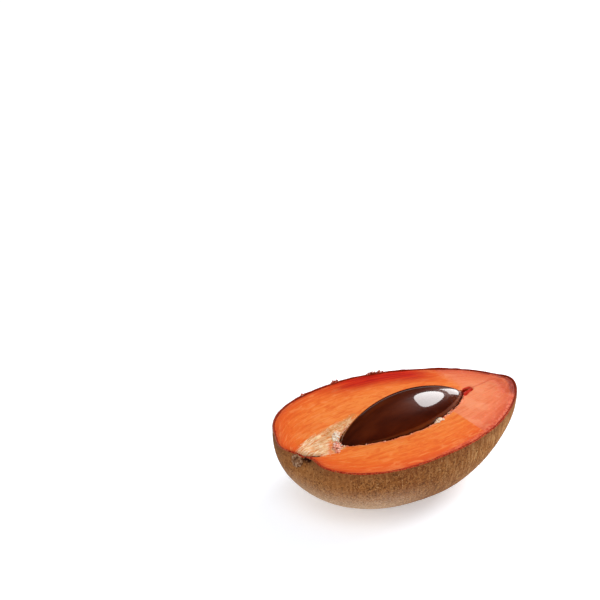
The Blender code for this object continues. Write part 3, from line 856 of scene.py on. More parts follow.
flesh_start = ring_mesh("flesh", flesh_rings, under_middle, hollow_floor, {
    "from_skin": from_skin, "from_seed": from_seed, "on_face": on_face, "hollow_shade": hollow_shade,
    "fibre_way": fibre_way, "fan_way": fan_way, "pale": pale_share(flat_x, flat_y) * on_face,
    "salmon_sheen": salmon_sheen_share(flat_x, flat_y), "pink": pink_share(flat_x, flat_y, from_skin),
    "deep_red": deep_red_share(flat_x, flat_y, from_skin),
    "orange_strip": line_share(flat_x, flat_y, ORANGE_STRIP, STRIP_WIDTH),
    "tan_strip": line_share(flat_x, flat_y, TAN_STRIP, STRIP_WIDTH),
    "tip_edge_shade": tip_edge_shade_share(flat_x, flat_y, from_skin),
    "tears": notch, "shaded_pit": spot_share(flat_x, flat_y, TIP_PIT),
    "creases_and_shade": np.maximum(line_share(flat_x, flat_y, CREASE, CREASE_WIDTH),
                          line_share(flat_x, flat_y, DENT, DENT_WIDTH)),
    "crevice_shade_lines": line_share(flat_x, flat_y, CREVICE_SHADE_LINES, CREVICE_SHADE_WIDTH)})

# %% Raise the fibres and press in the marks
tree, sizes = geometry_tree("Flesh relief", {
    "Fibre height": 0.30 * MM, "Core height": 0.9 * MM, "Facet height": 0.7 * MM,
    "Tear depth": 1.0 * MM, "Crease depth": 0.5 * MM})
way = kept_value(tree, "fibre_way", "FLOAT_VECTOR")
fan = kept_value(tree, "fan_way", "FLOAT_VECTOR")
fibres = noise_at(tree, way, (18 * MM, 1.5 * MM, 18 * MM), 3.0)
coarse = noise_at(tree, fan, (6.0 * MM, 1.5 * MM, 6.0 * MM), 4.0, 0.4)
facets = noise_at(tree, way, (9.0 * MM, 5.0 * MM, 9.0 * MM), 1.0)
fibre = calc(tree, "MULTIPLY", calc(tree, "SUBTRACT", fibres, 0.5), sizes["Fibre height"])
coarse = calc(tree, "MULTIPLY", calc(tree, "SUBTRACT", coarse, 0.5), sizes["Core height"])
coarse = calc(tree, "MULTIPLY", coarse, kept_value(tree, "pale"))
facet = calc(tree, "MULTIPLY", calc(tree, "SUBTRACT", facets, 0.5), sizes["Facet height"])
facet = calc(tree, "MULTIPLY", facet, kept_value(tree, "salmon_sheen"))
tear = calc(tree, "MAXIMUM", kept_value(tree, "tears"), kept_value(tree, "shaded_pit"))
tear = calc(tree, "MULTIPLY", tear, sizes["Tear depth"])
crease = calc(tree, "MULTIPLY", kept_value(tree, "creases_and_shade"), sizes["Crease depth"])
lines = calc(tree, "MULTIPLY", kept_value(tree, "crevice_shade_lines"), sizes["Crease depth"])
height = calc(tree, "ADD", calc(tree, "ADD", fibre, coarse), facet)
height = calc(tree, "SUBTRACT", height, calc(tree, "ADD", calc(tree, "ADD", tear, crease), lines))
height = calc(tree, "MULTIPLY", height, kept_value(tree, "on_face"))
raised = add(tree, "ShaderNodeCombineXYZ", {"Z": height}).outputs[0]
raised = add(tree, "GeometryNodeSetPosition", {"Geometry": sizes["Geometry"], "Offset": raised})
end_tree(tree, raised.outputs[0], finishes["orange_flesh"])
flesh = grow("flesh", flesh_start, tree)

# %% [markdown]
# ## Seed
#
# The seed is a hard polished spindle, pointed at both ends. That is a rule too: take a ball, and at
# each share s of its half length set the radius to (1 - s * s) to a power. A power of one half
# keeps the ball and a power of one gives straight points; this seed is in between. The geometry
# tree starts from a ball with its poles at the tips and moves its points. Underneath runs the dull
# strip where the seed was joined to the flesh, and it is pressed slightly flat.

# %% Build the seed
SEAM_HALF_ANGLE = 17.0
tree, sizes = geometry_tree("Pointed seed", {
    "Half length": SEED_LENGTH / 2, "Half width": SEED_HALF_WIDTH,
    "Half height": SEED_HALF_HEIGHT - SEED_INSET, "Point": SEED_POINT,
    "Seam half angle": math.radians(SEAM_HALF_ANGLE), "Seam depth": 0.5 * MM})
ball = add(tree, "GeometryNodeMeshUVSphere", {"Segments": 160, "Rings": 120, "Radius": 1.0}).outputs[0]
position = add(tree, "GeometryNodeInputPosition").outputs[0]
ball_at = add(tree, "ShaderNodeSeparateXYZ", {0: position}).outputs
left_over = calc(tree, "SUBTRACT", 1.0, calc(tree, "MULTIPLY", ball_at["Z"], ball_at["Z"]))
left_over = calc(tree, "MAXIMUM", left_over, 0.0)
pinch = calc(tree, "POWER", left_over, calc(tree, "SUBTRACT", sizes["Point"], 0.5))
downward = calc(tree, "MULTIPLY", ball_at["Y"], -1.0)
from_seam = calc(tree, "ABSOLUTE", calc(tree, "ARCTAN2", ball_at["X"], downward))
seam = add(tree, "ShaderNodeMapRange", {
    "Value": calc(tree, "DIVIDE", from_seam, sizes["Seam half angle"]),
    "From Min": 1.2, "From Max": 0.6}, interpolation_type="SMOOTHSTEP").outputs[0]
lift = calc(tree, "MULTIPLY", calc(tree, "MULTIPLY", seam, sizes["Seam depth"]), pinch)
across = calc(tree, "MULTIPLY", calc(tree, "MULTIPLY", ball_at["X"], pinch), sizes["Half width"])
upward = calc(tree, "MULTIPLY", calc(tree, "MULTIPLY", ball_at["Y"], pinch), sizes["Half height"])
spindle = add(tree, "ShaderNodeCombineXYZ", {
    "X": calc(tree, "MULTIPLY", ball_at["Z"], sizes["Half length"]), "Y": across,
    "Z": calc(tree, "ADD", upward, lift)}).outputs[0]
kept = add(tree, "GeometryNodeStoreNamedAttribute", {
    "Geometry": ball, "Name": "seam", "Value": seam}, data_type="FLOAT", domain="POINT").outputs[0]
shaped = add(tree, "GeometryNodeSetPosition", {"Geometry": kept, "Position": spindle}).outputs[0]
smooth = add(tree, "GeometryNodeSetShadeSmooth", {0: shaped}).outputs[0]
end_tree(tree, smooth, finishes["polished_seed"])
seed = grow("seed_coat", bpy.data.meshes.new("seed_start"), tree)
seed.data.transform(place @ seed_place)
seed_top = max(vertex.co.z for vertex in seed.data.vertices)
print("seed top, mm:", round(seed_top / MM, 2), "frame:", round(seed_high[2] / MM, 2))

# %% [markdown]
# ## Lumps
#
# Woody scar tissue, torn flesh at the seed's tip, crumbs on the edge of the hollow and scraps of
# skin are all lumps that have grown or stuck together. Each is made the same way: small balls are
# set on points, fused by turning them into a volume and back into a surface, and then roughened. A
# point carries the size of its ball, so a heap of lumps is only a short list of places.

# %% Tree that fuses lumps
def lump_tree(name, finish):
    """A tree that puts a ball on every point, fuses the balls and roughens the result."""
    tree, sizes = geometry_tree(name, {
        "Cell": 0.2 * MM, "Rough height": 0.3 * MM, "Rough size": 0.8 * MM})
    ball = add(tree, "GeometryNodeMeshIcoSphere", {"Radius": 1.0, "Subdivisions": 3}).outputs[0]
    balls = add(tree, "GeometryNodeInstanceOnPoints", {
        "Points": sizes["Geometry"], "Instance": ball,
        "Scale": kept_value(tree, "ball", "FLOAT_VECTOR")}).outputs[0]
    solid = add(tree, "GeometryNodeRealizeInstances", {"Geometry": balls}).outputs[0]
    volume = add(tree, "GeometryNodeMeshToVolume", {
        "Mesh": solid, "Voxel Size": sizes["Cell"],
        "Interior Band Width": calc(tree, "MULTIPLY", sizes["Cell"], 3.0)},
        resolution_mode="VOXEL_SIZE").outputs[0]
    fused = add(tree, "GeometryNodeVolumeToMesh", {
        "Volume": volume, "Threshold": 0.1}, resolution_mode="GRID").outputs[0]
    position = add(tree, "GeometryNodeInputPosition").outputs[0]
    per_metre = calc(tree, "DIVIDE", 1.0, sizes["Rough size"])
    rough = add(tree, "ShaderNodeTexNoise", {
        "Vector": position, "Scale": per_metre, "Detail": 3.0}).outputs[0]
    height = calc(tree, "MULTIPLY", calc(tree, "SUBTRACT", rough, 0.5), sizes["Rough height"])
    outwards = add(tree, "ShaderNodeVectorMath", {
        0: add(tree, "GeometryNodeInputNormal").outputs[0], "Scale": height}, operation="SCALE").outputs[0]
    roughened = add(tree, "GeometryNodeSetPosition", {"Geometry": fused, "Offset": outwards}).outputs[0]
    end_tree(tree, add(tree, "GeometryNodeSetShadeSmooth", {0: roughened}).outputs[0], finish)
    print("tree:", name)
    return tree


def lumps(name, places, tree, sizes):
    """Fused lumps; each place is X, Y, Z of the fruit in mm, then the ball's three half sizes."""
    places = np.array(places, dtype=float) * MM
    mesh = bpy.data.meshes.new(name)
    mesh.from_pydata(transformed(places[:, :3], place).tolist(), [], [])
    balls = mesh.attributes.new("ball", "FLOAT_VECTOR", "POINT")
    balls.data.foreach_set("vector", places[:, 3:].ravel())
    return grow(name, mesh, tree, sizes)


# %% [markdown]
# ## Stem scar
#
# Where the stalk was there is a woody scar, cut through with the fruit, so what is left lies just
# under the cut, in the dimple. It is a low, knobbly ring round a plug, wider than it is tall, and
# beside it a bit of skin is torn out and leaves a pocket, painted nearly black as shade.

# %% Build the stem scar
SCAR_CENTRE = (-73.7, 2.6, -0.8)         # X, Y and Z, mm
SCAR_RING = (4.3, 2.9)                   # half width and half height
SCAR_BEND = 0.22                         # how much the ring's sides lie back
SCAR_RING_OUT = 0.2                      # how far the ring stands out from the plug, mm
SCAR_KNOBS = 13
SCAR_PLUG_BALLS = 16
SCAR_PLUG_SHARE = 0.75                   # share of the ring that the plug fills
draw = np.random.default_rng(31)
scar_places = []
for knob in range(SCAR_KNOBS):
    angle = 2 * math.pi * knob / SCAR_KNOBS
    size = draw.uniform(1.0, 1.5)
    ring = draw.uniform(0.9, 1.08)
    scar_y, scar_z = SCAR_RING[0] * ring * math.cos(angle), SCAR_RING[1] * ring * math.sin(angle)
    scar_places.append((SCAR_CENTRE[0] + SCAR_BEND * abs(scar_y) - SCAR_RING_OUT,
                        SCAR_CENTRE[1] + scar_y, SCAR_CENTRE[2] + scar_z, 1.0, size, size))
for _ in range(SCAR_PLUG_BALLS):
    radius, angle = SCAR_PLUG_SHARE * math.sqrt(draw.random()), 2 * math.pi * draw.random()
    size = draw.uniform(0.8, 1.4)
    scar_places.append((SCAR_CENTRE[0], SCAR_CENTRE[1] + SCAR_RING[0] * radius * math.cos(angle),
                        SCAR_CENTRE[2] + SCAR_RING[1] * radius * math.sin(angle), 1.1, size, size))
stem_scar = lumps("stem_scar", scar_places, lump_tree("Fused scar", finishes["woody_scar"]),
                  {"Cell": 0.18 * MM, "Rough height": 0.7 * MM, "Rough size": 1.2 * MM})

# %% [markdown]
# ## Crumbs, grains and scraps
#
# Flesh tears where it lets go of the seed. A white and a pink heap of torn tissue lie at the
# seed's stem-side tip, with a few white bits round the tip itself. One pale heap sits on the near
# edge of the hollow, where a low crumbly ridge goes on from it, and fine crumbs lie all round.
# Scraps of skin stand up along the far rim where the knife dragged. All the places are in the
# fruit's own axes.

# %% Heap up the torn lumps
ABOVE_CUT = CUT_ABOVE_AXIS / MM
# Heaps: middle X and Y, half sizes, heading in degrees, height, number of balls and their sizes; mm
WHITE_HEAP = ((-46.8, 3.0), (5.2, 1.8), 52.0, 1.2, 54, (0.45, 0.9))
EDGE_HEAP = ((8.2, -15.8), (3.0, 1.3), 12.0, 1.3, 22, (0.4, 0.8))
PINK_HEAP = ((-52.6, -5.4), (5.6, 2.0), 55.0, 1.0, 60, (0.4, 0.85))
TIP_BITS = (  # X, Y, height over the cut and half length of each white bit round the seed's tip, mm
    (-49.0, -1.6, 1.0, 0.5), (-49.4, -2.6, 1.0, 0.5), (-49.9, -3.7, 0.9, 0.5),
    (-50.1, -4.9, 0.8, 0.5), (-50.0, -6.1, 0.6, 0.5), (-49.2, -7.4, 0.4, 0.6))
TIP_BIT_THICKNESS = 0.4
draw = np.random.default_rng(5)


def heap(middle, half_sizes, heading, height, count, ball_sizes):
    """Places of many small balls, heaped highest in the middle, long side at a heading; in mm."""
    long_x, long_y = math.cos(math.radians(heading)), math.sin(math.radians(heading))
    places = []
    for _ in range(count):
        away, angle = math.sqrt(draw.random()), draw.uniform(0.0, 2 * math.pi)
        along_it = half_sizes[0] * away * math.cos(angle)
        across_it = half_sizes[1] * away * math.sin(angle)
        size = draw.uniform(*ball_sizes)
        places.append((middle[0] + along_it * long_x - across_it * long_y,
                       middle[1] + along_it * long_y + across_it * long_x,
                       ABOVE_CUT + height * (1.0 - away * away) * draw.uniform(0.4, 1.0),
                       size * draw.uniform(0.9, 1.5), size, size * 0.8))
    return places


lump_sizes = {"Cell": 0.14 * MM, "Rough height": 0.35 * MM, "Rough size": 0.7 * MM}
white_places = heap(*WHITE_HEAP) + heap(*EDGE_HEAP)
for x, y, over_cut, half_length in TIP_BITS:
    white_places.append((x, y, ABOVE_CUT + over_cut, half_length, TIP_BIT_THICKNESS, TIP_BIT_THICKNESS))
tip_tree = lump_tree("Fused tip lumps", finishes["pale_fibre"])
tip_lumps = lumps("tip_lumps", white_places, tip_tree, lump_sizes)
pink_tree = lump_tree("Fused pink lumps", finishes["torn_flesh"])
pink_lumps = lumps("pink_lumps", heap(*PINK_HEAP), pink_tree, lump_sizes)

# %% Build the crumbs on the hollow's edge
LIP_CRUMBS = 150
CRUMBS_END = 36.0 * MM                   # no crumbs beyond this place along the fruit
LONE_CRUMB = (-16.5, -14.8, ABOVE_CUT + 0.4, 1.0, 0.7, 0.6)
RIDGE_START = (9.0, -15.2)               # X and Y, mm
RIDGE_RUN = (22.0, 10.4)
RIDGE_BEND = 1.35
RIDGE_BALLS = 26
draw = np.random.default_rng(7)
crumb_places = [LONE_CRUMB]
for share in np.linspace(0.0, 1.0, RIDGE_BALLS):
    x = RIDGE_START[0] + RIDGE_RUN[0] * share
    y = RIDGE_START[1] + RIDGE_RUN[1] * share ** RIDGE_BEND + draw.uniform(-0.5, 0.3)
    crumb_places.append((x, y, ABOVE_CUT + 0.15, draw.uniform(0.4, 0.8), draw.uniform(0.25, 0.4), 0.3))
for column in draw.choice(COLUMNS, LIP_CRUMBS, replace=False):
    outward = lip[column] - np.array((*SEED_CENTRE, 0.0))
    spot = lip[column] + outward / np.linalg.norm(outward) * draw.uniform(0.2, 0.9) * MM
    size = draw.uniform(0.22, 0.5)
    if spot[0] > CRUMBS_END:
        continue
    crumb_places.append((spot[0] / MM, spot[1] / MM, ABOVE_CUT + draw.uniform(0.05, 0.35),
                         size * draw.uniform(1.0, 2.2), size, size * 0.7))
lip_crumbs = lumps("lip_crumbs", crumb_places, lump_tree("Fused lip crumbs", finishes["lip_flesh"]),
                   {"Cell": 0.12 * MM, "Rough height": 0.25 * MM, "Rough size": 0.6 * MM})

# %% Build the scraps of skin
SCRAPS = (  # X, length and height in mm, of each scrap along the far rim
    (-35.7, 3.2, 1.3), (-13.4, 4.6, 1.9), (11.8, 9.5, 2.1))
SCRAP_INSET = 0.7
SHREDS_PER_MM = 3.5
SHRED_BALLS = 4
SCRAP_ARCH = 2.4                         # a scrap is lower towards its ends
draw = np.random.default_rng(12)
scrap_places = []
far_rim = rim[rim[:, 1] > 0] / MM
far_rim = far_rim[np.argsort(far_rim[:, 0])]
for middle_x, length, height in SCRAPS:
    for _ in range(int(length * SHREDS_PER_MM)):
        x = middle_x + length * draw.uniform(-0.5, 0.5)
        y = np.interp(x, far_rim[:, 0], far_rim[:, 1]) - SCRAP_INSET
        tall = height * draw.uniform(0.3, 1.0) * math.cos((x - middle_x) / length * SCRAP_ARCH)
        for step in range(SHRED_BALLS):
            size = draw.uniform(0.30, 0.52) - 0.05 * step
            lean_x, lean_y = 0.25 * step * draw.uniform(-1, 1), 0.1 * step * draw.uniform(-1, 1)
            over_cut = tall * step / (SHRED_BALLS - 1)
            scrap_places.append((x + lean_x, y + lean_y, ABOVE_CUT + over_cut, size * 1.3, size, size))
rim_scraps = lumps("rim_scraps", scrap_places, lump_tree("Fused scraps", finishes["torn_skin"]),
                   {"Cell": 0.12 * MM, "Rough height": 0.5 * MM, "Rough size": 0.7 * MM})

# %% [markdown]
# ## Scattered grains
#
# The skin is covered with dry flakes, and the pale core with coarse grains that lie along the
# fibres. Both are scattered by one kind of tree: points on a surface, thicker where a stored share
# is high, a small closed flake on each, turned and sized at random. A flake has ten triangles,
# because there are thousands.

# %% Scatter flakes and grains
FLAKE_SIDES = 5


def scatter_tree(name, share, upright, finish, defaults):
    """Flakes on the faces where a stored share is high; upright ones lie along the fibres."""
    tree, sizes = geometry_tree(name, defaults)
    density = calc(tree, "MULTIPLY", kept_value(tree, share), sizes["Flakes per square metre"])
    spread = add(tree, "GeometryNodeDistributePointsOnFaces", {
        "Mesh": sizes["Geometry"], "Density": density, "Seed": 5}, distribute_method="RANDOM")
    flake = add(tree, "GeometryNodeMeshUVSphere", {
        "Segments": FLAKE_SIDES, "Rings": 2, "Radius": 1.0}).outputs[0]
    half = random_between(tree, sizes["Smallest"], sizes["Largest"], 11)
    scale = add(tree, "ShaderNodeCombineXYZ", {
        "X": calc(tree, "MULTIPLY", half, sizes["Stretch"]), "Y": half,
        "Z": sizes["Half thickness"]}).outputs[0]
    spin = random_between(tree, calc(tree, "MULTIPLY", sizes["Spin"], -1.0), sizes["Spin"], 17)
    spin = add(tree, "ShaderNodeCombineXYZ", {"Z": calc(tree, "ADD", spin, sizes["Turn"])}).outputs[0]
    if upright:
        rotation = spin
    else:
        rotation = add(tree, "FunctionNodeRotateRotation", {
            "Rotation": spread.outputs["Rotation"], "Rotate By": spin}, rotation_space="LOCAL").outputs[0]
    copies = add(tree, "GeometryNodeInstanceOnPoints", {
        "Points": spread.outputs["Points"], "Instance": flake, "Rotation": rotation,
        "Scale": scale}).outputs[0]
    toned = add(tree, "GeometryNodeStoreNamedAttribute", {
        "Geometry": copies, "Name": "tone", "Value": random_between(tree, 0.0, 1.0, 23)},
        data_type="FLOAT", domain="INSTANCE").outputs[0]
    end_tree(tree, toned, finish)
    return tree


flake_tree = scatter_tree("Skin flakes", "outside", False, finishes["skin_flakes"], {
    "Flakes per square metre": 620000.0, "Smallest": 0.16 * MM, "Largest": 0.48 * MM,
    "Half thickness": 0.07 * MM, "Stretch": 1.4, "Spin": math.pi, "Turn": 0.0})
skin_scurf = grow("skin_scurf", skin.data.copy(), flake_tree)
grain_tree = scatter_tree("Core grains", "pale", True, finishes["core_fibre"], {
    "Flakes per square metre": 450000.0, "Smallest": 0.08 * MM, "Largest": 0.24 * MM,
    "Half thickness": 0.10 * MM, "Stretch": 3.5, "Spin": 0.5, "Turn": 0.3})
core_grains = grow("core_grains", flesh.data.copy(), grain_tree)

# %% [markdown]
# ## Finishes
#
# Every finish starts from the base colour seen in the picture. A colour is written as it looks on
# screen, from 0 to 255, and is turned into a paint colour for the light that falls on the cut
# face. Patterns read the object's own coordinates or the values kept on the points, so they stay
# on the surface from every side.

# %% Colour helpers
FACE_LIGHT = 1.25        # how bright a white card on the cut face looks; 1 is just white


def screen(red, green, blue, light=FACE_LIGHT):
    """A paint colour that looks like the given screen colour in the studio light."""
    def linear(value):
        share = value / 255
        return share / 12.92 if share <= 0.04045 else ((share + 0.055) / 1.055) ** 2.4
    return (linear(red) / light, linear(green) / light, linear(blue) / light, 1.0)


def stored(tree, name, vector=False):
    """A named value kept on the points."""
    return add(tree, "ShaderNodeAttribute", attribute_name=name).outputs["Vector" if vector else "Fac"]


def own_coordinates(tree):
    """The object's own coordinates."""
    return add(tree, "ShaderNodeTexCoord").outputs["Object"]


def split(tree, vector):
    """The X, Y and Z of a vector."""
    return add(tree, "ShaderNodeSeparateXYZ", {0: vector}).outputs


def fade(tree, value, low, high):
    """0 below low, 1 above high, with a soft ramp between; low may be the larger."""
    return add(tree, "ShaderNodeMapRange", {"Value": value, "From Min": low, "From Max": high},
               interpolation_type="SMOOTHSTEP").outputs[0]


def mix(tree, share, first, second):
    """The first colour where share is 0, the second where it is 1."""
    return add(tree, "ShaderNodeMix", {0: share, 6: first, 7: second}, data_type="RGBA").outputs[2]


def ramp(tree, value, stops):
    """A colour for each place of a value; stops are pairs of a place and a colour."""
    node = add(tree, "ShaderNodeValToRGB", {0: value})
    elements = node.color_ramp.elements
    while len(elements) < len(stops):
        elements.new(1.0)
    for element, (place_on_ramp, shade) in zip(elements, stops):
        element.position = place_on_ramp
        element.color = shade
    return node.outputs[0]


def product(tree, *values):
    """All the values multiplied together."""
    result = values[0]
    for value in values[1:]:
        result = calc(tree, "MULTIPLY", result, value)
    return result


def swing(tree, value, size):
    """Noise turned into a swing about 0, up to half a size either way."""
    return product(tree, calc(tree, "SUBTRACT", value, 0.5), size)


def tint(tree, base, colour, value, low, high, strength):
    """A base with a colour laid over it as a value goes from low to high, up to a strength."""
    return mix(tree, product(tree, fade(tree, value, low, high), strength), base, colour)


def finish_with(name, colour, roughness, height=None, bump_height=0.0, **constants):
    """Joins a colour, a roughness and a bump to a finish, and sets its plain numbers."""
    tree = finishes[name].node_tree
    shader = tree.nodes["Principled BSDF"]
    for socket, value in (("Base Color", colour), ("Roughness", roughness)):
        if isinstance(value, bpy.types.NodeSocket):
            tree.links.new(value, shader.inputs[socket])
        else:
            shader.inputs[socket].default_value = value
    if height is not None:
        bump = add(tree, "ShaderNodeBump", {"Height": height, "Distance": bump_height, "Strength": 1.0})
        tree.links.new(bump.outputs[0], shader.inputs["Normal"])
    for label, value in constants.items():
        shader.inputs[label.replace("_", " ")].default_value = value


# %% [markdown]
# ## Skin finish
#
# Mamey skin is cinnamon brown and looks like coarse sandpaper. Four sizes of pattern make it:
# broad blotches, worm-like mottling of about a millimetre, pale scurf and dark specks. Streaks
# run down from the rim and are strongest at the pointed end, which is more golden and lighter:
# partly its own colour, partly painted light from the key lamp that it faces. Just under the cut
# the skin is painted darker and redder as shade. Low down it is paler, most towards the stem:
# partly dust, partly painted bounce light from the floor. The cut edge is pinkish brown on the
# wide side, a jagged red on the narrow side and painted dark with shade at the pointed end, and
# the torn pocket by the scar is painted nearly black as shade.

# %% Paint the skin
SIDE_LIGHT = 1.1                         # how bright a white card looks where the skin is
DUST_AND_BOUNCE_HEIGHTS = (32.0 * MM, 10.0 * MM)    # no dust or painted bounce light above the first, most below the second
DUST_AND_BOUNCE_ALONG = (-8.0 * MM, -50.0 * MM)     # more and more dust and painted bounce light from the first place to the second
DUST_AND_BOUNCE_EVERYWHERE = 0.12
DUST_AND_BOUNCE_AT_STEM = 0.80


def skin_shade(red, green, blue):
    """A paint colour for the skin, which gets less light than the cut face."""
    return screen(red, green, blue, SIDE_LIGHT)


def dust_and_bounce_share(tree, along):
    """How pale the skin is from dust and painted bounce light: low down, and most towards the stem end."""
    to_stem = product(tree, fade(tree, along["X"], *DUST_AND_BOUNCE_ALONG), DUST_AND_BOUNCE_AT_STEM)
    low_down = fade(tree, along["Z"], *DUST_AND_BOUNCE_HEIGHTS)
    return product(tree, low_down, calc(tree, "ADD", DUST_AND_BOUNCE_EVERYWHERE, to_stem))


tree = finishes["rough_skin"].node_tree
at = own_coordinates(tree)
along = split(tree, at)
way = stored(tree, "skin_way", True)
below = stored(tree, "under_cut")
worms = noise_at(tree, at, 1.7 * MM, 3.0, 1.2)
mottle = noise_at(tree, at, 0.8 * MM, 3.0)
blotch = noise_at(tree, at, 14.0 * MM, 3.0)
streak = noise_at(tree, way, (1.4 * MM, 1.4 * MM, 9.0 * MM), 3.0)
brown = ramp(tree, worms, (
    (0.32, skin_shade(84, 46, 18)), (0.44, skin_shade(116, 66, 28)), (0.54, skin_shade(140, 84, 38)),
    (0.66, skin_shade(172, 114, 62))))
brown = tint(tree, brown, skin_shade(176, 122, 72), mottle, 0.54, 0.72, 0.8)
brown = tint(tree, brown, skin_shade(88, 48, 20), mottle, 0.44, 0.30, 0.8)
brown = tint(tree, brown, skin_shade(122, 62, 26), blotch, 0.40, 0.66, 0.35)
# Partly painted light: the pointed end faces the key lamp, so its golden tone is also painted lighter.
golden_lit_tone = ramp(tree, streak, (
    (0.34, skin_shade(138, 86, 42)), (0.48, skin_shade(172, 114, 62)), (0.62, skin_shade(214, 166, 108))))
golden_lit_tip_share = product(tree, fade(tree, along["X"], -30 * MM, 45 * MM), 0.85)
brown = mix(tree, golden_lit_tip_share, brown, golden_lit_tone)
soft_streak = product(tree, fade(tree, streak, 0.47, 0.66), 0.40)
brown = mix(tree, soft_streak, brown, skin_shade(184, 130, 78))
stem_share = product(tree, fade(tree, along["X"], -50 * MM, -72 * MM), 0.4)
brown = mix(tree, stem_share, brown, skin_shade(176, 118, 66))
# Painted shade: just under the rim the skin is darker and redder.
under_rim_shade = product(tree, fade(tree, below, 8.0 * MM, 0.5 * MM), 0.5)
brown = mix(tree, under_rim_shade, brown, skin_shade(112, 58, 26))
# Paler low down: partly dust, partly painted bounce light from the floor.
dust_and_bounce_tone = mix(tree, fade(tree, mottle, 0.34, 0.66), skin_shade(180, 140, 104), skin_shade(232, 200, 168))
brown = mix(tree, dust_and_bounce_share(tree, along), brown, dust_and_bounce_tone)
specks = add(tree, "ShaderNodeTexVoronoi", {"Vector": at, "Scale": 1.0 / (2.6 * MM)}).outputs["Distance"]
brown = tint(tree, brown, skin_shade(70, 38, 16), specks, 0.22, 0.10, 0.6)

jagged = noise_at(tree, at, 0.9 * MM, 2.0)
far_tone = ramp(tree, jagged, (
    (0.36, screen(134, 74, 50)), (0.50, screen(160, 92, 66)), (0.66, screen(186, 122, 94))))
near_tone = ramp(tree, jagged, (
    (0.36, screen(126, 32, 14)), (0.48, screen(176, 50, 24)), (0.56, screen(206, 82, 46)),
    (0.66, screen(150, 92, 56))))
edge_tone = mix(tree, fade(tree, along["Y"], 10 * MM, 2 * MM), far_tone, near_tone)
# Painted shade: the cut edge is darker at the pointed end, where it rounds down away from the light.
edge_tip_painted_shade = product(tree, fade(tree, along["X"], 40 * MM, 62 * MM), 0.9)
edge_tone = mix(tree, edge_tip_painted_shade, edge_tone, screen(118, 44, 24))
edge_place = calc(tree, "ADD", stored(tree, "edge_way"), swing(tree, jagged, 0.7))
edge_tone = mix(tree, fade(tree, edge_place, 0.45, 0.72), edge_tone, screen(150, 36, 12))
# Painted shade: the torn pocket by the scar is painted nearly black.
brown = mix(tree, fade(tree, stored(tree, "pocket_painted_shade"), 0.25, 0.7), brown, skin_shade(52, 20, 10))
colour = mix(tree, stored(tree, "cut_edge"), brown, edge_tone)
finish_with("rough_skin", colour, 0.9, calc(tree, "ADD", mottle, product(tree, worms, 0.8)), 0.4 * MM,
            Specular_IOR_Level=0.10)

# %% Paint the loose flakes
tree = finishes["skin_flakes"].node_tree
at = own_coordinates(tree)
along = split(tree, at)
tone = stored(tree, "tone")
flake_colour = ramp(tree, tone, (
    (0.0, skin_shade(88, 50, 22)), (0.35, skin_shade(120, 70, 34)), (0.7, skin_shade(144, 92, 48)),
    (0.93, skin_shade(160, 108, 62)), (1.0, skin_shade(176, 128, 84))))
# The flakes are paler low down too: partly dust, partly painted bounce light from the floor.
flake_colour = mix(tree, dust_and_bounce_share(tree, along), flake_colour, skin_shade(196, 164, 132))
# Towards the pointed end the flakes turn golden and lighter, partly with painted light from the key lamp.
golden_lit_tip_share = product(tree, fade(tree, along["X"], 10 * MM, 58 * MM), 0.6)
flake_colour = mix(tree, golden_lit_tip_share, flake_colour, skin_shade(180, 124, 70))
finish_with("skin_flakes", flake_colour, 0.9, noise_at(tree, at, 0.3 * MM), 0.1 * MM,
            Specular_IOR_Level=0.10)

# %% [markdown]
# ## Flesh finish
#
# The flesh is moist and slightly see-through, so light spreads under its surface. From the skin
# inwards it goes from a thin jagged dark red line through pinkish red and deep orange to lighter
# orange at the seed. Fine streaks follow the fibres. The wide side has a deep red band, and the
# core by the stem is cream. The pointed end is salmon pink with lighter clouds, a painted sheen of
# the key lamp on a knife facet, with painted shade at its very end and a dark red edge of painted
# shade. Strips and torn spots are painted over that, and painted shade in the creases, the dark
# lines by the scar, the pit at the seed's tip and the hollow, each where its kept share says.

# %% Paint the flesh
tree = finishes["orange_flesh"].node_tree
at = own_coordinates(tree)
way = stored(tree, "fibre_way", True)
along = split(tree, at)
fan = stored(tree, "fan_way", True)
fine = noise_at(tree, way, (16 * MM, 0.75 * MM, 8 * MM), 3.0)
broad = noise_at(tree, way, (34 * MM, 3.2 * MM, 12 * MM), 2.0)
cloud = noise_at(tree, at, 11.0 * MM, 3.0)
jagged = noise_at(tree, at, 1.6 * MM, 3.0)
skin_distance = stored(tree, "from_skin")
off_rim = fade(tree, skin_distance, 2.0 * MM, 9.0 * MM)
wander = product(tree, swing(tree, broad, 10.0 * MM), off_rim)
reach_in = calc(tree, "ADD", skin_distance, swing(tree, jagged, 2.2 * MM))
reach_in = calc(tree, "ADD", reach_in, wander)
RAMP_REACH = 25.0 * MM
depth_share = calc(tree, "DIVIDE", reach_in, RAMP_REACH)
orange = ramp(tree, depth_share, (
    (0.052, screen(146, 34, 10)), (0.078, screen(216, 78, 34)), (0.14, screen(228, 90, 32)),
    (0.24, screen(234, 98, 30)), (0.40, screen(238, 110, 36)), (0.64, screen(241, 120, 42)),
    (0.90, screen(243, 132, 54))))
patchy = noise_at(tree, way, (7.0 * MM, 2.6 * MM, 7.0 * MM), 4.0, 0.8)
orange = tint(tree, orange, screen(222, 82, 18), fine, 0.50, 0.32, 0.40)
orange = tint(tree, orange, screen(246, 150, 76), fine, 0.53, 0.70, 0.40)
orange = tint(tree, orange, screen(226, 88, 22), patchy, 0.50, 0.34, 0.55)
orange = tint(tree, orange, screen(246, 146, 78), patchy, 0.52, 0.68, 0.50)
orange = tint(tree, orange, screen(234, 102, 34), cloud, 0.50, 0.72, 0.35)

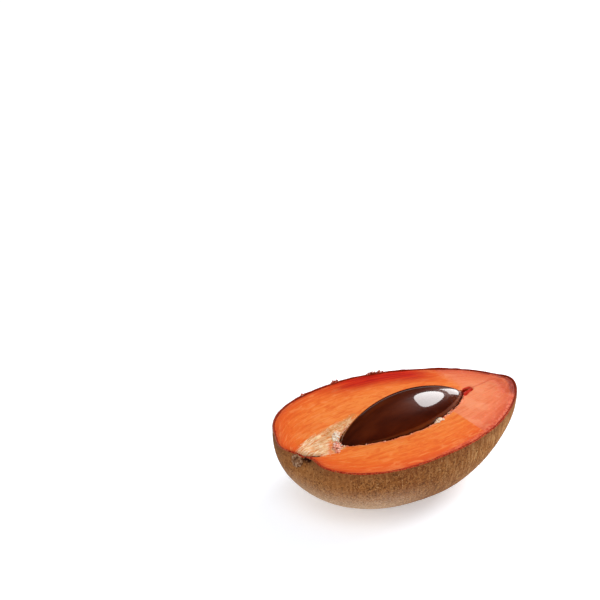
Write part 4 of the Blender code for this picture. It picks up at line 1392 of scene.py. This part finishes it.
# Painted sheen: salmon pink, lighter in clouds, where a knife facet mirrors the key lamp.
salmon_sheen_tone = ramp(tree, depth_share, (
    (0.052, screen(146, 40, 20)), (0.085, screen(206, 84, 58)), (0.20, screen(224, 104, 66)),
    (0.45, screen(236, 124, 80)), (0.80, screen(240, 136, 90))))
salmon_sheen_tone = tint(tree, salmon_sheen_tone, screen(222, 96, 52), fine, 0.52, 0.34, 0.40)
cloudy_sheen = product(tree, fade(tree, cloud, 0.48, 0.66), 0.6)
salmon_sheen_tone = mix(tree, cloudy_sheen, salmon_sheen_tone, screen(246, 152, 108))
tip_shade = fade(tree, along["X"], 50 * MM, 68 * MM)
salmon_sheen_tone = mix(tree, product(tree, tip_shade, 0.8), salmon_sheen_tone, screen(208, 94, 56))
# The painted sheen's share, with a ragged border.
ragged = calc(tree, "ADD", stored(tree, "salmon_sheen"), swing(tree, jagged, 0.35))
flesh_colour = mix(tree, fade(tree, ragged, 0.30, 0.72), orange, salmon_sheen_tone)

red_share = product(tree, stored(tree, "deep_red"), fade(tree, broad, 0.14, 0.36))
flesh_colour = mix(tree, red_share, flesh_colour, mix(
    tree, fade(tree, fine, 0.38, 0.62), screen(182, 12, 0), screen(212, 42, 0)))
pink_band = calc(tree, "ADD", stored(tree, "pink"), swing(tree, jagged, 0.9))
pink_band = product(tree, fade(tree, pink_band, 0.25, 0.7), 0.75)
flesh_colour = mix(tree, pink_band, flesh_colour, mix(
    tree, fade(tree, jagged, 0.40, 0.60), screen(202, 70, 36), screen(228, 106, 68)))

fan_streaks = noise_at(tree, fan, (9.0 * MM, 0.9 * MM, 6.0 * MM), 3.0, 0.3)
grains = noise_at(tree, fan, (3.0 * MM, 1.0 * MM, 3.0 * MM), 4.0, 0.6)
cream = ramp(tree, grains, (
    (0.28, screen(202, 116, 62)), (0.38, screen(228, 162, 108)), (0.50, screen(242, 196, 148)),
    (0.66, screen(252, 226, 190))))
beside_seed = fade(tree, along["X"], -60 * MM, -44 * MM)
cream = mix(tree, product(tree, beside_seed, 0.7), cream, mix(
    tree, fade(tree, grains, 0.40, 0.62), screen(222, 140, 78), screen(240, 186, 134)))
cream = tint(tree, cream, screen(222, 122, 52), fan_streaks, 0.50, 0.36, 0.75)
pale = calc(tree, "ADD", stored(tree, "pale"), swing(tree, fan_streaks, 1.1))
flesh_colour = mix(tree, fade(tree, pale, 0.22, 0.85), flesh_colour, cream)

near_seed = fade(tree, stored(tree, "from_seed"), 1.5 * MM, 0.5 * MM)
marks = (  # a share and the colour painted there, one over the other
    (product(tree, stored(tree, "tan_strip"), 0.6), screen(200, 132, 70)),
    (product(tree, stored(tree, "orange_strip"), 0.65), screen(234, 104, 30)),
    (product(tree, near_seed, 0.5, stored(tree, "on_face")), screen(236, 140, 104)),
    # Painted shade in the creases and the dent:
    (product(tree, stored(tree, "creases_and_shade"), 0.45), screen(206, 74, 44)),
    # Painted shade along the pointed end's edge:
    (product(tree, stored(tree, "tip_edge_shade"), fade(tree, jagged, 0.28, 0.50)), screen(146, 40, 18)),
    # Painted shadow in the crevices by the stem scar:
    (fade(tree, stored(tree, "crevice_shade_lines"), 0.25, 0.95), screen(104, 56, 28)),
    (fade(tree, stored(tree, "tears"), 0.10, 0.55), screen(198, 34, 8)),
    # Painted shade in the pit at the seed's tip:
    (product(tree, stored(tree, "shaded_pit"), 0.95), screen(40, 12, 6)),
    # Painted shade in the hollow under the seed:
    (stored(tree, "hollow_shade"), screen(120, 22, 8)))
for mark_share, mark_colour in marks:
    flesh_colour = mix(tree, mark_share, flesh_colour, mark_colour)
moist = product(tree, stored(tree, "salmon_sheen"), fade(tree, jagged, 0.42, 0.60))
rough = calc(tree, "ADD", 0.52, product(tree, fine, 0.2))
rough = calc(tree, "SUBTRACT", rough, product(tree, moist, 0.22))
finish_with(
    "orange_flesh", flesh_colour, rough,
    calc(tree, "ADD", product(tree, fine, 0.6), product(tree, grains, 0.6)), 0.30 * MM,
    Subsurface_Weight=0.15, Subsurface_Radius=(1.0, 0.35, 0.12), Subsurface_Scale=1.6 * MM,
    Specular_IOR_Level=0.08)

# %% Paint the pale grains and lumps
tree = finishes["core_fibre"].node_tree
at = own_coordinates(tree)
grain_colour = ramp(tree, stored(tree, "tone"), (
    (0.0, screen(206, 128, 70)), (0.4, screen(226, 166, 110)), (0.8, screen(240, 198, 148)),
    (1.0, screen(250, 222, 184))))
finish_with("core_fibre", grain_colour, 0.7, noise_at(tree, at, 0.5 * MM), 0.1 * MM,
            Specular_IOR_Level=0.2)


def speckled_finish(name, speckle, stops, roughness, bump_height, **constants):
    """A finish for torn bits; speckle is the size of its spots and how distorted they are."""
    tree = finishes[name].node_tree
    at = own_coordinates(tree)
    colour = ramp(tree, noise_at(tree, at, speckle[0], 3.0, speckle[1]), stops)
    finish_with(name, colour, roughness, noise_at(tree, at, 0.5 * MM), bump_height, **constants)


speckled_finish("pale_fibre", (1.1 * MM, 0.0), (
    (0.32, screen(232, 164, 120)), (0.42, screen(244, 206, 168)), (0.54, screen(252, 230, 206)),
    (0.66, screen(255, 246, 232))), 0.6, 0.15 * MM, Specular_IOR_Level=0.25,
    Subsurface_Weight=0.15, Subsurface_Radius=(1.0, 0.5, 0.3), Subsurface_Scale=1.0 * MM)
speckled_finish("lip_flesh", (1.6 * MM, 0.0), (
    (0.36, screen(220, 92, 48)), (0.50, screen(238, 134, 92)), (0.64, screen(250, 190, 156))),
    0.5, 0.1 * MM, Specular_IOR_Level=0.3)
speckled_finish("torn_flesh", (1.3 * MM, 0.6), (
    (0.32, screen(206, 82, 52)), (0.42, screen(234, 128, 96)), (0.52, screen(244, 166, 136)),
    (0.66, screen(252, 214, 196))), 0.5, 0.15 * MM, Specular_IOR_Level=0.4)
speckled_finish("torn_skin", (1.2 * MM, 0.0), (
    (0.34, screen(112, 30, 16)), (0.46, screen(178, 60, 36)), (0.56, screen(214, 120, 92)),
    (0.66, screen(240, 200, 180))), 0.7, 0.2 * MM, Specular_IOR_Level=0.2)

# %% [markdown]
# ## Scar and seed finish
#
# The scar is weathered wood: dull brown knobs, with painted shade darkening the crevices. The
# seed has a hard natural polish, so it is almost black-brown and is seen mostly by what it
# mirrors. A clear coat gives the sharp reflection, and faint lengthwise clouds keep the brown
# from looking like paint.

# %% Paint the scar and the seed
tree = finishes["woody_scar"].node_tree
at = own_coordinates(tree)
knobs = noise_at(tree, at, 1.4 * MM, 4.0, 0.5)
# Painted shade: the crevices between the knobs are painted darker.
scar_colour_with_crevice_shade = ramp(tree, knobs, (
    (0.32, screen(62, 34, 20)), (0.44, screen(116, 74, 46)), (0.54, screen(150, 108, 76)),
    (0.68, screen(186, 152, 124))))
finish_with("woody_scar", scar_colour_with_crevice_shade, 0.92, knobs, 0.2 * MM, Specular_IOR_Level=0.1)

tree = finishes["polished_seed"].node_tree
at = own_coordinates(tree)
cloud = noise_at(tree, at, (26 * MM, 6 * MM, 9 * MM), 3.0)
coat_colour = ramp(tree, cloud, (
    (0.30, screen(62, 16, 2)), (0.50, screen(78, 24, 3)), (0.70, screen(94, 34, 5))))
coat_colour = mix(tree, stored(tree, "seam"), coat_colour, screen(150, 100, 70))
finish_with(
    "polished_seed", coat_colour, calc(tree, "ADD", 0.35, product(tree, stored(tree, "seam"), 0.4)),
    noise_at(tree, at, 5.0 * MM, 2.0), 0.05 * MM, Specular_IOR_Level=0.1, Coat_Weight=1.0,
    Coat_Roughness=0.04, Coat_IOR=1.6)
print("finishes:", sorted(finishes))

# %% [markdown]
# ## Fixing the pieces to the frame
#
# Nothing on the half moves, so every piece rides on the frame's one body. The skin and the flesh
# stand for the frame's half, and the seed coat for its seed.

# %% Ride, replace and measure
SLOTS = ((skin, "skin"), (skin_scurf, "skin"), (rim_scraps, "skin"), (flesh, "flesh_and_skin"),
         (core_grains, "core_tissue"), (tip_lumps, "core_tissue"), (lip_crumbs, "core_tissue"),
         (pink_lumps, "flesh_and_skin"), (stem_scar, "stem_scar"), (seed, "seed_coat"))
for piece, slot in SLOTS:
    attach(piece, "root")
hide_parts("fruit_half")
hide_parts("fruit_half")
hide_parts("seed")
for piece, slot in SLOTS:
    corners = np.array([vertex.co for vertex in piece.data.vertices])
    print(piece.name, "mm:", np.round(corners.min(axis=0) / MM, 2), np.round(corners.max(axis=0) / MM, 2))
